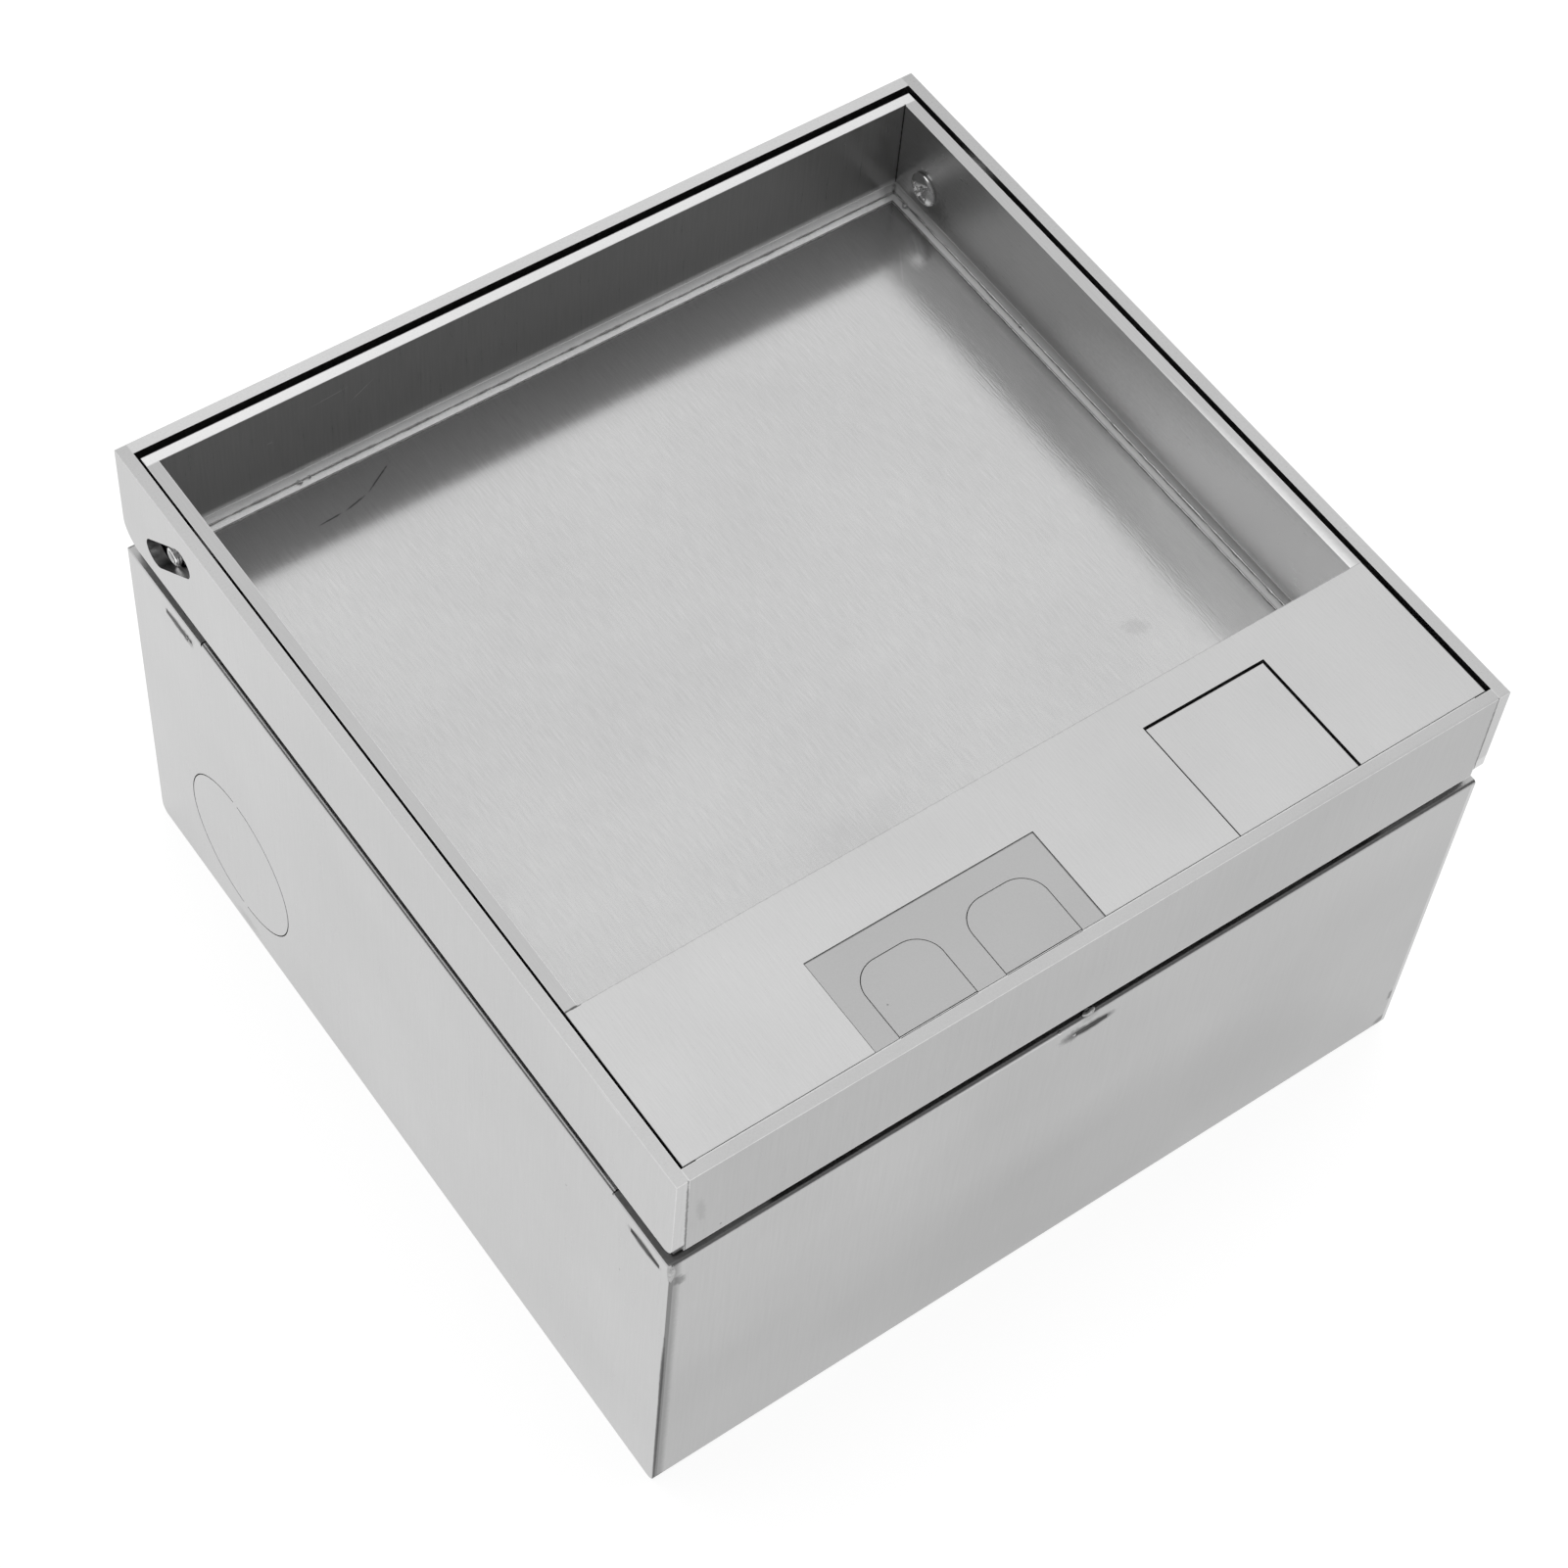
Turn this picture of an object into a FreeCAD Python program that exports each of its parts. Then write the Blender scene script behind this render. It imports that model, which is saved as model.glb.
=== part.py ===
import FreeCAD, Part
import os
import re
import Sketcher

# Floor socket box: a welded stainless trim frame with a lift-up tray lid over a
# folded steel box that carries power and data sockets.  Millimetres, +Z up.
# The origin is the centre of the underside; -Y is the front (cable outlet) side.

os.makedirs("parts", exist_ok=True)
doc = FreeCAD.newDocument("floor_socket_box")

SIZES = {
    # overall
    "outer_width": 250,
    "outer_depth": 250,
    "outer_height": 161.5,
    # trim frame: four flat bars on edge, above a shadow gap
    "bar_thick": 3.5,
    "bar_height": 34,
    "bar_corner": 7,
    "shadow_gap": 5.2,
    # inclined hinge window, seen from the side, and the hinge screw in it
    "window_width": 8.4,
    "window_length": 27.4,
    "window_tilt": 38.8,
    "window_back": 24.02,
    "window_drop": 18.33,
    "hinge_radius": 3,
    "hinge_offset": 4.06,
    "hinge_fit": 0.05,
    "hinge_reach": 1,
    "hinge_head": 5.1,
    "hinge_head_height": 2.2,
    # lid: open tray behind a flat service strip
    "lid_gap_left": 0.7,
    "lid_gap_right": 1.7,
    "lid_gap_front": 0.3,
    "lid_gap_rear": 2,
    "lid_wall": 3.5,
    "lid_edge": 0.5,
    "tray_depth": 33.6,
    "tray_floor": 1.5,
    "weld_radius": 3.3,
    "weld_lip": 0.1,
    "strip_depth": 47.6,
    "strip_thick": 3.5,
    "swing_gap": 3,
    # finger flap in the strip
    "flap_left": 41,
    "flap_width": 38.4,
    "flap_depth": 37.6,
    "flap_gap": 0.9,
    "flap_gap_left": 0.3,
    "flap_thick": 3,
    "flap_pin": 1.25,
    "flap_pin_back": 2.4,
    "flap_pin_drop": 5.2,
    "flap_knuckle": 2.2,
    "flap_knuckle_width": 22,
    "flap_lug": 2,
    "spring_wire": 0.3,
    "spring_radius": 1.65,
    "spring_turns": 4,
    "spring_tip": 0.3,
    # plastic cable outlet and its two sprung flaps
    "outlet_left": -67.4,
    "outlet_width": 67.4,
    "outlet_depth": 28.4,
    "outlet_gap": 0.12,
    "outlet_lip": 4,
    "outlet_rim": 3.5,
    "tab_width": 22.7,
    "tab_depth": 20.6,
    "tab_corner": 7.5,
    "tab_pitch": 30.9,
    "tab_gap": 0.25,
    "tab_front": 0.3,
    "tab_thick": 2,
    "tab_pin": 0.8,
    "tab_pin_drop": 3.6,
    "tab_pin_back": 3.6,
    "tab_knuckle": 2,
    "tab_knuckle_width": 7,
    "tab_spring_wire": 0.2,
    "tab_spring_radius": 1.2,
    # folded box
    "sheet": 1.2,
    "bend_radius": 1,
    "base_radius": 3,
    "front_flange": 23.4,
    "rear_flange": 37.3,
    "side_flange": 14,
    "corner_flange": 12,
    "seam_gap": 0.4,
    "knockout_radius": 25,
    "knockout_back": 47.2,
    "knockout_height": 35.5,
    "kerf": 0.35,
    "kerf_bridge": 2,
    "fixing_span": 180,
    "fixing_radius": 3.25,
    # corner and middle brackets, tabbed through the sheet
    "bracket_thick": 1.5,
    "bracket_drop": 7,
    "bracket_width": 25,
    "tab_slot": 11.4,
    "slot_fit": 0.15,
    "front_tab": 10,
    "rear_tab": 25,
    # frame seats and their screws
    "seat_thick": 1.5,
    "seat_width": 30,
    "seat_setback": 2.3,
    "seat_rim": 1.2,
    "spacer_thick": 0.8,
    "screw_inset": 14,
    "front_screw": 12.5,
    "rear_screw": 32,
    "screw_radius": 2.5,
    "screw_length": 10,
    "screw_head": 1.3,
    "screw_fit": 0.25,
    "nut_height": 4,
    "pad_length": 7,
    # socket carrier
    "carrier_height": 64,
    "carrier_thick": 1.5,
    "carrier_margin": 4,
    "carrier_gap": 8,
    "rail_width": 18,
    "rail_height": 16,
    "rail_length": 210,
    "carrier_screw": 2,
    "carrier_span": 180,
    # 45 mm modules
    "module": 45,
    "module_fit": 0.2,
    "module_lip": 1.5,
    "module_pitch": 70,
    "row_front": -49,
    "row_rear": 35,
    "face_thick": 2.5,
    "socket_depth": 36,
    "recess_radius": 19.5,
    "recess_depth": 17.5,
    "contact_span": 19,
    "contact_radius": 2.6,
    "sleeve_wall": 0.4,
    "sleeve_length": 14,
    "earth_width": 5,
    "earth_thick": 0.8,
    "jack_width": 14.6,
    "jack_height": 16.4,
    "jack_pitch": 21,
    "jack_depth": 24,
    # earth stud
    "stud_radius": 3,
    "stud_length": 20,
    "stud_inset": 45,
}

sheet = doc.addObject("Spreadsheet::Sheet", "sizes")
for row, (alias, value) in enumerate(SIZES.items(), start=1):
    sheet.set(f"A{row}", alias)
    sheet.set(f"B{row}", str(value))
    sheet.setAlias(f"B{row}", alias)
doc.recompute()

# Planes that several pieces share, as expressions in the sizes.
SIDE = "outer_width / 2"
END = "outer_depth / 2"
TOP = "outer_height"
BAR_LOW = f"({TOP} - bar_height)"
RIM = f"({BAR_LOW} - shadow_gap)"
BAR_IN_X = f"({SIDE} - bar_thick)"
BAR_IN_Y = f"({END} - bar_thick)"
LID_LEFT = f"(-{BAR_IN_X} + lid_gap_left)"
LID_RIGHT = f"({BAR_IN_X} - lid_gap_right)"
LID_FRONT = f"(-{BAR_IN_Y} + lid_gap_front)"
LID_REAR = f"({BAR_IN_Y} - lid_gap_rear)"
TRAY_TOP = f"({TOP} - tray_depth)"
LID_LOW = f"({TRAY_TOP} - tray_floor)"
STRIP_BACK = f"({LID_FRONT} + strip_depth)"
STRIP_LOW = f"({TOP} - strip_thick)"
WALL_FRONT = f"(-{BAR_IN_Y} + swing_gap)"
WINDOW_Y = f"({END} - window_back)"
WINDOW_Z = f"({TOP} - window_drop)"
# the hinge screw lies on the window's lower edge, hinge_offset down from its middle
HINGE_DROP = "(window_width / 2 - hinge_radius - hinge_fit)"
HINGE_Y = f"({WINDOW_Y} + hinge_offset * cos(window_tilt) - {HINGE_DROP} * sin(window_tilt))"
HINGE_Z = f"({WINDOW_Z} - hinge_offset * sin(window_tilt) - {HINGE_DROP} * cos(window_tilt))"
PANEL_IN = f"({SIDE} - sheet)"
FRONT_SEAM = f"(-{END} + front_flange)"
REAR_SEAM = f"({END} - rear_flange)"
SHELF_TOP = f"({RIM} - bracket_drop + bracket_thick)"
SHELF_LOW = f"({RIM} - bracket_drop)"
SEAT_LOW = f"({RIM} + spacer_thick)"
SEAT_TOP = f"({SEAT_LOW} + seat_thick)"
CARRIER_LOW = "(carrier_height - carrier_thick)"

VECTOR = FreeCAD.Vector
UP = VECTOR(0, 0, 1)
nodes = []


def bound(text):
    """The expression with each size name pointed at the sheet."""
    return re.sub(r"[a-z][a-z_]*", lambda word: "sizes." + word[0] if word[0] in SIZES else word[0], text)


def measure(text):
    """The present value of an expression in the sizes."""
    return float(sheet.evalExpression(bound(text)))


def bind(item, **expressions):
    """Ties properties to expressions; a double underscore stands for a dot."""
    for name, text in expressions.items():
        item.setExpression(name.replace("__", "."), bound(str(text)))


def publish(item, label):
    """Names a finished sub-part and puts it on the list of nodes."""
    item.Label = label
    nodes.append(item)
    return item


# ---- Part primitives and booleans

def block(name, x, y, z):
    """A box from low to high along each axis."""
    item = doc.addObject("Part::Box", name)
    bind(item, Length=f"({x[1]}) - ({x[0]})", Width=f"({y[1]}) - ({y[0]})", Height=f"({z[1]}) - ({z[0]})")
    bind(item, Placement__Base__x=x[0], Placement__Base__y=y[0], Placement__Base__z=z[0])
    return item


def upright(name, x, y, z, half):
    """A square prism about an upright line, from low to high."""
    return block(name, (f"{x} - ({half})", f"{x} + ({half})"), (f"{y} - ({half})", f"{y} + ({half})"), z)


TURNS = {
    "x": FreeCAD.Rotation(VECTOR(0, 1, 0), 90),
    "y": FreeCAD.Rotation(VECTOR(1, 0, 0), -90),
    "z": FreeCAD.Rotation(),
}


def rod(name, axis, start, radius, length):
    """A cylinder that starts at a point and runs along +X, +Y or +Z."""
    item = doc.addObject("Part::Cylinder", name)
    item.Placement = FreeCAD.Placement(VECTOR(), TURNS[axis])
    bind(item, Radius=radius, Height=length)
    bind(item, Placement__Base__x=start[0], Placement__Base__y=start[1], Placement__Base__z=start[2])
    return item


def hexagon(name, start, flats, height):
    """A six-sided prism standing on a point."""
    item = doc.addObject("Part::Prism", name)
    item.Polygon = 6
    bind(item, Circumradius=f"({flats}) / 2 / cos(30)", Height=height)
    bind(item, Placement__Base__x=start[0], Placement__Base__y=start[1], Placement__Base__z=start[2])
    return item


def join(name, *pieces):
    item = doc.addObject("Part::MultiFuse", name)
    item.Shapes = list(pieces)
    item.Refine = True
    return item


def cut(name, base, *tools):
    item = doc.addObject("Part::Cut", name)
    item.Base = base
    item.Tool = tools[0] if len(tools) == 1 else join(name + "_tools", *tools)
    item.Refine = True
    return item


def wire_leg(name, wire, *places):
    """Straight end of a spring's wire: a (low, high) span on one axis, a middle on the others."""
    half = f"{wire} * 0.9"
    spans = [at if isinstance(at, tuple) else (f"{at} - {half}", f"{at} + {half}") for at in places]
    return block(name, *spans)


def torsion_spring(name, start, radius, wire, *legs):
    """Close-wound coil along X round a pin, with straight legs; start is the coil's low end."""
    length = f"spring_turns * 2 * {wire}"
    blank = rod(f"{name}_blank", "x", start, f"{radius} + {wire}", length)
    bore = rod(f"{name}_bore", "x", start, f"{radius} - {wire}", length)
    return join(name, cut(f"{name}_coil", blank, bore), *legs)


def group(name, pieces):
    """Separate like solids that share one node."""
    item = doc.addObject("Part::Compound", name)
    item.Links = list(pieces)
    return item


# ---- PartDesign bodies drawn in three views: top (X, Y), side (Y, Z), front (X, Z)

PLANES = {"top": "XY_Plane", "side": "YZ_Plane", "front": "XZ_Plane"}


def new_body(label):
    return publish(doc.addObject("PartDesign::Body", label), label)


def sketch_on(body, view, level, middle=("0", "0"), turn="0"):
    """A sketch across the view's axis at a level, moved and turned in its own plane."""
    number = len(body.Group) + 1
    sketch = body.newObject("Sketcher::SketchObject", f"{body.Name}_sketch_{number}")
    origin = next(plane for plane in body.Origin.OriginFeatures if plane.Role == PLANES[view])
    sketch.AttachmentSupport = [(origin, "")]
    sketch.MapMode = "FlatFace"
    sketch.AttachmentOffset = FreeCAD.Placement(VECTOR(), FreeCAD.Rotation(UP, 1))
    bind(sketch, AttachmentOffset__Rotation__Angle=turn)
    bind(sketch, AttachmentOffset__Base__x=middle[0], AttachmentOffset__Base__y=middle[1])
    bind(sketch, AttachmentOffset__Base__z=level if view != "front" else f"-({level})")
    return sketch


def pin_point(sketch, geometry, point, x, y):
    """Holds one point of the sketch at expressions in x and y."""
    across = sketch.addConstraint(Sketcher.Constraint("DistanceX", -1, 1, geometry, point, measure(x)))
    upward = sketch.addConstraint(Sketcher.Constraint("DistanceY", -1, 1, geometry, point, measure(y)))
    sketch.setExpression(f"Constraints[{across}]", bound(x))
    sketch.setExpression(f"Constraints[{upward}]", bound(y))


def polygon(sketch, points):
    """A closed outline through points given as expressions."""
    first = sketch.GeometryCount
    corners = [VECTOR(measure(x), measure(y), 0) for x, y in points]
    for start, end in zip(corners, corners[1:] + corners[:1]):
        sketch.addGeometry(Part.LineSegment(start, end))
    for number, (x, y) in enumerate(points):
        following = first + (number + 1) % len(points)
        sketch.addConstraint(Sketcher.Constraint("Coincident", first + number, 2, following, 1))
    for number, (x, y) in enumerate(points):
        pin_point(sketch, first + number, 1, x, y)


def rectangle(sketch, x, y):
    polygon(sketch, [(x[0], y[0]), (x[1], y[0]), (x[1], y[1]), (x[0], y[1])])


def circle(sketch, x, y, radius):
    middle = VECTOR(measure(x), measure(y), 0)
    number = sketch.addGeometry(Part.Circle(middle, UP, measure(radius)))
    size = sketch.addConstraint(Sketcher.Constraint("Radius", number, measure(radius)))
    sketch.setExpression(f"Constraints[{size}]", bound(radius))
    pin_point(sketch, number, 3, x, y)


def arc(sketch, x, y, radius, start, end):
    """Part of a circle between two angles in radians; its ends are tied by the caller."""
    base = Part.Circle(VECTOR(measure(x), measure(y), 0), UP, measure(radius))
    number = sketch.addGeometry(Part.ArcOfCircle(base, start, end))
    size = sketch.addConstraint(Sketcher.Constraint("Radius", number, measure(radius)))
    sketch.setExpression(f"Constraints[{size}]", bound(radius))
    pin_point(sketch, number, 3, x, y)
    return number


QUARTER = 1.5707963267948966


def obround(sketch, length, width):
    """A slot along the sketch's own X axis: two half circles and two tangent lines."""
    radius = f"({width}) / 2"
    reach = f"(({length}) - ({width})) / 2"
    right = arc(sketch, reach, "0", radius, -QUARTER, QUARTER)
    left = arc(sketch, f"-({reach})", "0", radius, QUARTER, 3 * QUARTER)
    across, upward = measure(reach), measure(radius)
    top = sketch.addGeometry(Part.LineSegment(VECTOR(across, upward, 0), VECTOR(-across, upward, 0)))
    low = sketch.addGeometry(Part.LineSegment(VECTOR(-across, -upward, 0), VECTOR(across, -upward, 0)))
    ring = (right, top, left, low)
    for one, other in zip(ring, ring[1:] + ring[:1]):
        sketch.addConstraint(Sketcher.Constraint("Tangent", one, 2, other, 1))


def kerf_half(sketch, x, y, side):
    """Half of a knockout's cut line: a thin ring that stops at a bridge top and bottom."""
    outer, inner = "knockout_radius + kerf / 2", "knockout_radius - kerf / 2"
    start, end = (-QUARTER, QUARTER) if side > 0 else (QUARTER, 3 * QUARTER)
    far = arc(sketch, x, y, outer, start, end)
    near = arc(sketch, x, y, inner, start, end)
    across = f"({x}) + {side} * kerf_bridge / 2"
    middle = measure(y)
    for far_end, near_end, sense in ((1, 1, -side), (2, 2, side)):
        low = VECTOR(measure(across), middle + sense * measure(inner), 0)
        high = VECTOR(measure(across), middle + sense * measure(outer), 0)
        line = sketch.addGeometry(Part.LineSegment(low, high))
        sketch.addConstraint(Sketcher.Constraint("Coincident", line, 2, far, far_end))
        sketch.addConstraint(Sketcher.Constraint("Coincident", line, 1, near, near_end))
        sketch.addConstraint(Sketcher.Constraint("Vertical", line))
        place = sketch.addConstraint(Sketcher.Constraint("DistanceX", -1, 1, line, 1, measure(across)))
        sketch.setExpression(f"Constraints[{place}]", bound(across))


def pad(body, sketch, length):
    """Adds the sketch's outline, towards +Z or +X, or towards -Y in a front view."""
    feature = body.newObject("PartDesign::Pad", f"{sketch.Name}_pad")
    feature.Profile = sketch
    bind(feature, Length=length)
    doc.recompute()
    return feature


def pocket(body, sketch, depth):
    """Removes the sketch's outline, towards -Z or -X, or towards +Y in a front view."""
    before = body.Shape.Volume
    feature = body.newObject("PartDesign::Pocket", f"{sketch.Name}_pocket")
    feature.Profile = sketch
    bind(feature, Length=depth)
    doc.recompute()
    if body.Shape.Volume > before - 0.01:
        raise ValueError(f"{feature.Name} removed nothing")
    return feature


def dress(body, kind, radius, chosen):
    """A fillet or chamfer on the edges whose middle point passes the test."""
    doc.recompute()
    base = body.Tip
    edges = [f"Edge{n}" for n, edge in enumerate(base.Shape.Edges, start=1) if chosen(edge.CenterOfMass)]
    feature = body.newObject(f"PartDesign::{kind}", f"{body.Name}_{kind.lower()}_{len(body.Group)}")
    feature.Base = (base, edges)
    bind(feature, **{"Radius" if kind == "Fillet" else "Size": radius})
    doc.recompute()
    return feature


def near(value, text):
    """True where a coordinate lies on the plane that the expression gives."""
    return abs(value - measure(text)) < 0.02


def plate(label, view, low, high, *outlines):
    """A flat body: the first outline less the holes in the others, between two levels."""
    body = new_body(label)
    sketch = sketch_on(body, view, high if view == "front" else low)
    for outline in outlines:
        polygon(sketch, outline)
    pad(body, sketch, f"({high}) - ({low})")
    return body


def corners(x, y):
    """The four corner points of a rectangle."""
    return [(x[0], y[0]), (x[1], y[0]), (x[1], y[1]), (x[0], y[1])]


def square(x, y, half):
    """Corner points of a square about a middle point."""
    return corners((f"{x} - ({half})", f"{x} + ({half})"), (f"{y} - ({half})", f"{y} + ({half})"))


# ---- Trim frame

def side_bar(label, low, high):
    """Left or right bar: full depth, rounded lower corners and the inclined hinge window."""
    body = plate(label, "side", low, high, corners((f"-{END}", END), (BAR_LOW, TOP)))
    window = sketch_on(body, "side", high, (WINDOW_Y, WINDOW_Z), "-window_tilt")
    obround(window, "window_length", "window_width")
    pocket(body, window, "bar_thick")
    dress(body, "Fillet", "bar_corner", lambda p: near(abs(p.y), END) and near(p.z, BAR_LOW))


side_bar("left_bar", f"-{SIDE}", f"-{BAR_IN_X}")
side_bar("right_bar", BAR_IN_X, SIDE)
plate("front_bar", "front", f"-{END}", f"-{BAR_IN_Y}", corners((f"-{BAR_IN_X}", BAR_IN_X), (BAR_LOW, TOP)))
plate("rear_bar", "front", BAR_IN_Y, END, corners((f"-{BAR_IN_X}", BAR_IN_X), (BAR_LOW, TOP)))


# ---- Lid: walls, floor and service strip

def side_wall(label, low, high):
    """Tray side wall: runs on under the strip, with the bore for the hinge screw."""
    outline = [
        (WALL_FRONT, LID_LOW), (f"{LID_REAR} - lid_wall", LID_LOW), (f"{LID_REAR} - lid_wall", TOP),
        (STRIP_BACK, TOP), (STRIP_BACK, STRIP_LOW), (WALL_FRONT, STRIP_LOW),
    ]
    body = plate(label, "side", low, high, outline)
    bore = sketch_on(body, "side", high)
    circle(bore, HINGE_Y, HINGE_Z, "hinge_radius + hinge_fit")
    pocket(body, bore, "lid_wall")


WALL_IN_LEFT = f"({LID_LEFT} + lid_wall)"
WALL_IN_RIGHT = f"({LID_RIGHT} - lid_wall)"
TRAY_BACK = f"({LID_REAR} - lid_wall)"
side_wall("tray_left_wall", LID_LEFT, WALL_IN_LEFT)
side_wall("tray_right_wall", WALL_IN_RIGHT, LID_RIGHT)

rear_outline = corners((LID_LEFT, LID_RIGHT), (LID_LOW, TOP))
rear_wall = plate("tray_rear_wall", "front", TRAY_BACK, LID_REAR, rear_outline)
dress(rear_wall, "Fillet", "lid_edge", lambda p: near(p.y, LID_REAR) and near(p.z, TOP))
inner_width = (WALL_IN_LEFT, WALL_IN_RIGHT)
front_outline = corners(inner_width, (LID_LOW, STRIP_LOW))
plate("tray_front_wall", "front", f"{STRIP_BACK} - lid_wall", STRIP_BACK, front_outline)

# The floor turns up into the walls in a ground weld fillet that ends in a thin lip.
floor_body = new_body("tray_floor")
floor_slab = sketch_on(floor_body, "top", LID_LOW)
rectangle(floor_slab, inner_width, (STRIP_BACK, TRAY_BACK))
WELD_FOOT = "(weld_radius + weld_lip)"
pad(floor_body, floor_slab, f"tray_floor + {WELD_FOOT}")
floor_hollow = sketch_on(floor_body, "top", f"{TRAY_TOP} + {WELD_FOOT}")
rectangle(
    floor_hollow,
    (f"{WALL_IN_LEFT} + weld_lip", f"{WALL_IN_RIGHT} - weld_lip"),
    (f"{STRIP_BACK} + weld_lip", f"{TRAY_BACK} - weld_lip"),
)
pocket(floor_body, floor_hollow, WELD_FOOT)
dress(floor_body, "Fillet", "weld_radius", lambda p: near(p.z, TRAY_TOP))

FLAP_RIGHT = "(flap_left + flap_width)"
FLAP_BACK = f"({LID_FRONT} + flap_depth)"
OUTLET_RIGHT = "(outlet_left + outlet_width)"
OUTLET_BACK = f"({LID_FRONT} + outlet_depth)"
plate(
    "service_strip", "top", STRIP_LOW, TOP,
    [
        (LID_LEFT, LID_FRONT), ("outlet_left", LID_FRONT), ("outlet_left", OUTLET_BACK),
        (OUTLET_RIGHT, OUTLET_BACK), (OUTLET_RIGHT, LID_FRONT), ("flap_left", LID_FRONT),
        ("flap_left", FLAP_BACK), (FLAP_RIGHT, FLAP_BACK), (FLAP_RIGHT, LID_FRONT),
        (LID_RIGHT, LID_FRONT), (LID_RIGHT, STRIP_BACK), (LID_LEFT, STRIP_BACK),
    ],
)


# ---- Hinge screws: pan heads inside the tray, shanks through the wall into the window

def cross_recess(name, start, width, reach, depth):
    """Two crossed slots sunk in a screw head that faces along X."""
    half, arm = f"({width}) / 2", f"({reach}) / 2"
    x, y, z = start
    blades = []
    for number, (one, other) in enumerate(((half, arm), (arm, half))):
        across, tall = (f"{y} - {one}", f"{y} + {one}"), (f"{z} - {other}", f"{z} + {other}")
        blades.append(block(f"{name}_blade_{number}", (x, f"{x} + {depth}"), across, tall))
    return join(f"{name}_recess", *blades)


def hinge_screw(name, side):
    """One shoulder screw; the head is on the tray side of the wall."""
    wall = WALL_IN_LEFT if side < 0 else WALL_IN_RIGHT
    tip = f"{side} * ({SIDE} - hinge_reach)"
    low, high = (tip, wall) if side < 0 else (wall, tip)
    head_low = wall if side < 0 else f"{wall} - hinge_head_height"
    recess_low = f"{wall} + hinge_head_height - 1" if side < 0 else f"{wall} - hinge_head_height"
    shank = rod(f"{name}_shank", "x", (low, HINGE_Y, HINGE_Z), "hinge_radius", f"({high}) - ({low})")
    head = rod(f"{name}_head", "x", (head_low, HINGE_Y, HINGE_Z), "hinge_head", "hinge_head_height")
    recess = cross_recess(name, (recess_low, HINGE_Y, HINGE_Z), "1.3", "5.2", "1")
    return cut(name, join(f"{name}_blank", shank, head), recess)


hinge_pair = [hinge_screw("hinge_left", -1), hinge_screw("hinge_right", 1)]
publish(group("hinge_pair", hinge_pair), "hinge_screws")


# ---- Finger flap, its pin, lugs and torsion spring

FLAP_PIN_Y = f"({LID_FRONT} + flap_pin_back)"
FLAP_PIN_Z = f"({TOP} - flap_pin_drop)"
FLAP_MIDDLE = "(flap_left + flap_width / 2)"
flap_x = ("flap_left + flap_gap_left", f"{FLAP_RIGHT} - flap_gap")
flap_body = plate(
    "finger_flap", "top", f"{TOP} - flap_thick", TOP,
    corners(flap_x, (LID_FRONT, f"{FLAP_BACK} - flap_gap")),
)
knuckle_low = f"{FLAP_MIDDLE} - flap_knuckle_width / 2"
knuckle = sketch_on(flap_body, "side", knuckle_low)
polygon(knuckle, corners((f"{FLAP_PIN_Y} - flap_knuckle", f"{FLAP_PIN_Y} + flap_knuckle"),
                         (f"{FLAP_PIN_Z} - flap_knuckle", f"{TOP} - flap_thick")))
pad(flap_body, knuckle, "flap_knuckle_width")
dress(flap_body, "Fillet", "flap_knuckle - 0.02", lambda p: near(p.z, f"{FLAP_PIN_Z} - flap_knuckle")
      and not near(p.y, FLAP_PIN_Y) and near(p.x, FLAP_MIDDLE))
flap_bore = sketch_on(flap_body, "side", f"{FLAP_MIDDLE} + flap_knuckle_width / 2")
circle(flap_bore, FLAP_PIN_Y, FLAP_PIN_Z, "flap_pin + hinge_fit")
pocket(flap_body, flap_bore, "flap_knuckle_width")

LUG_GAP = "0.5"
lug_left = (f"flap_left - {LUG_GAP} - flap_lug", f"flap_left - {LUG_GAP}")
lug_right = (f"{FLAP_RIGHT} + {LUG_GAP}", f"{FLAP_RIGHT} + {LUG_GAP} + flap_lug")
lugs = []
lug_depth = (f"{LID_FRONT} + 0.3", f"{LID_FRONT} + 9")
for name, span in (("flap_lug_left", lug_left), ("flap_lug_right", lug_right)):
    ear = block(f"{name}_ear", span, lug_depth, (f"{FLAP_PIN_Z} - 2.6", STRIP_LOW))
    hole = rod(f"{name}_hole", "x", (span[0], FLAP_PIN_Y, FLAP_PIN_Z), "flap_pin + hinge_fit", "flap_lug")
    lugs.append(cut(name, ear, hole))
publish(group("flap_lugs", lugs), "finger_flap_lugs")
pin_span = f"({lug_right[1]}) - ({lug_left[0]})"
pin_start = (lug_left[0], FLAP_PIN_Y, FLAP_PIN_Z)
publish(rod("flap_pin_rod", "x", pin_start, "flap_pin", pin_span), "finger_flap_pin")


FLAP_SPRING_X = "(flap_left + 1.5)"
lug_leg = wire_leg(
    "flap_spring_lug_leg", "spring_wire",
    (f"{lug_left[1]} + spring_tip", f"{FLAP_SPRING_X} + spring_wire"), FLAP_PIN_Y,
    f"{FLAP_PIN_Z} - spring_radius",
)
flap_leg = wire_leg(
    "flap_spring_flap_leg", "spring_wire", f"{FLAP_SPRING_X} + spring_wire",
    (FLAP_PIN_Y, f"{FLAP_PIN_Y} + flap_depth / 3"), f"{FLAP_PIN_Z} + spring_radius",
)
flap_coil = (FLAP_SPRING_X, FLAP_PIN_Y, FLAP_PIN_Z)
flap_spring = torsion_spring("flap_spring", flap_coil, "spring_radius", "spring_wire", lug_leg, flap_leg)
publish(flap_spring, "finger_flap_spring")


# ---- Cable outlet: moulded insert with two U notches, each closed by a sprung flap

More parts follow.
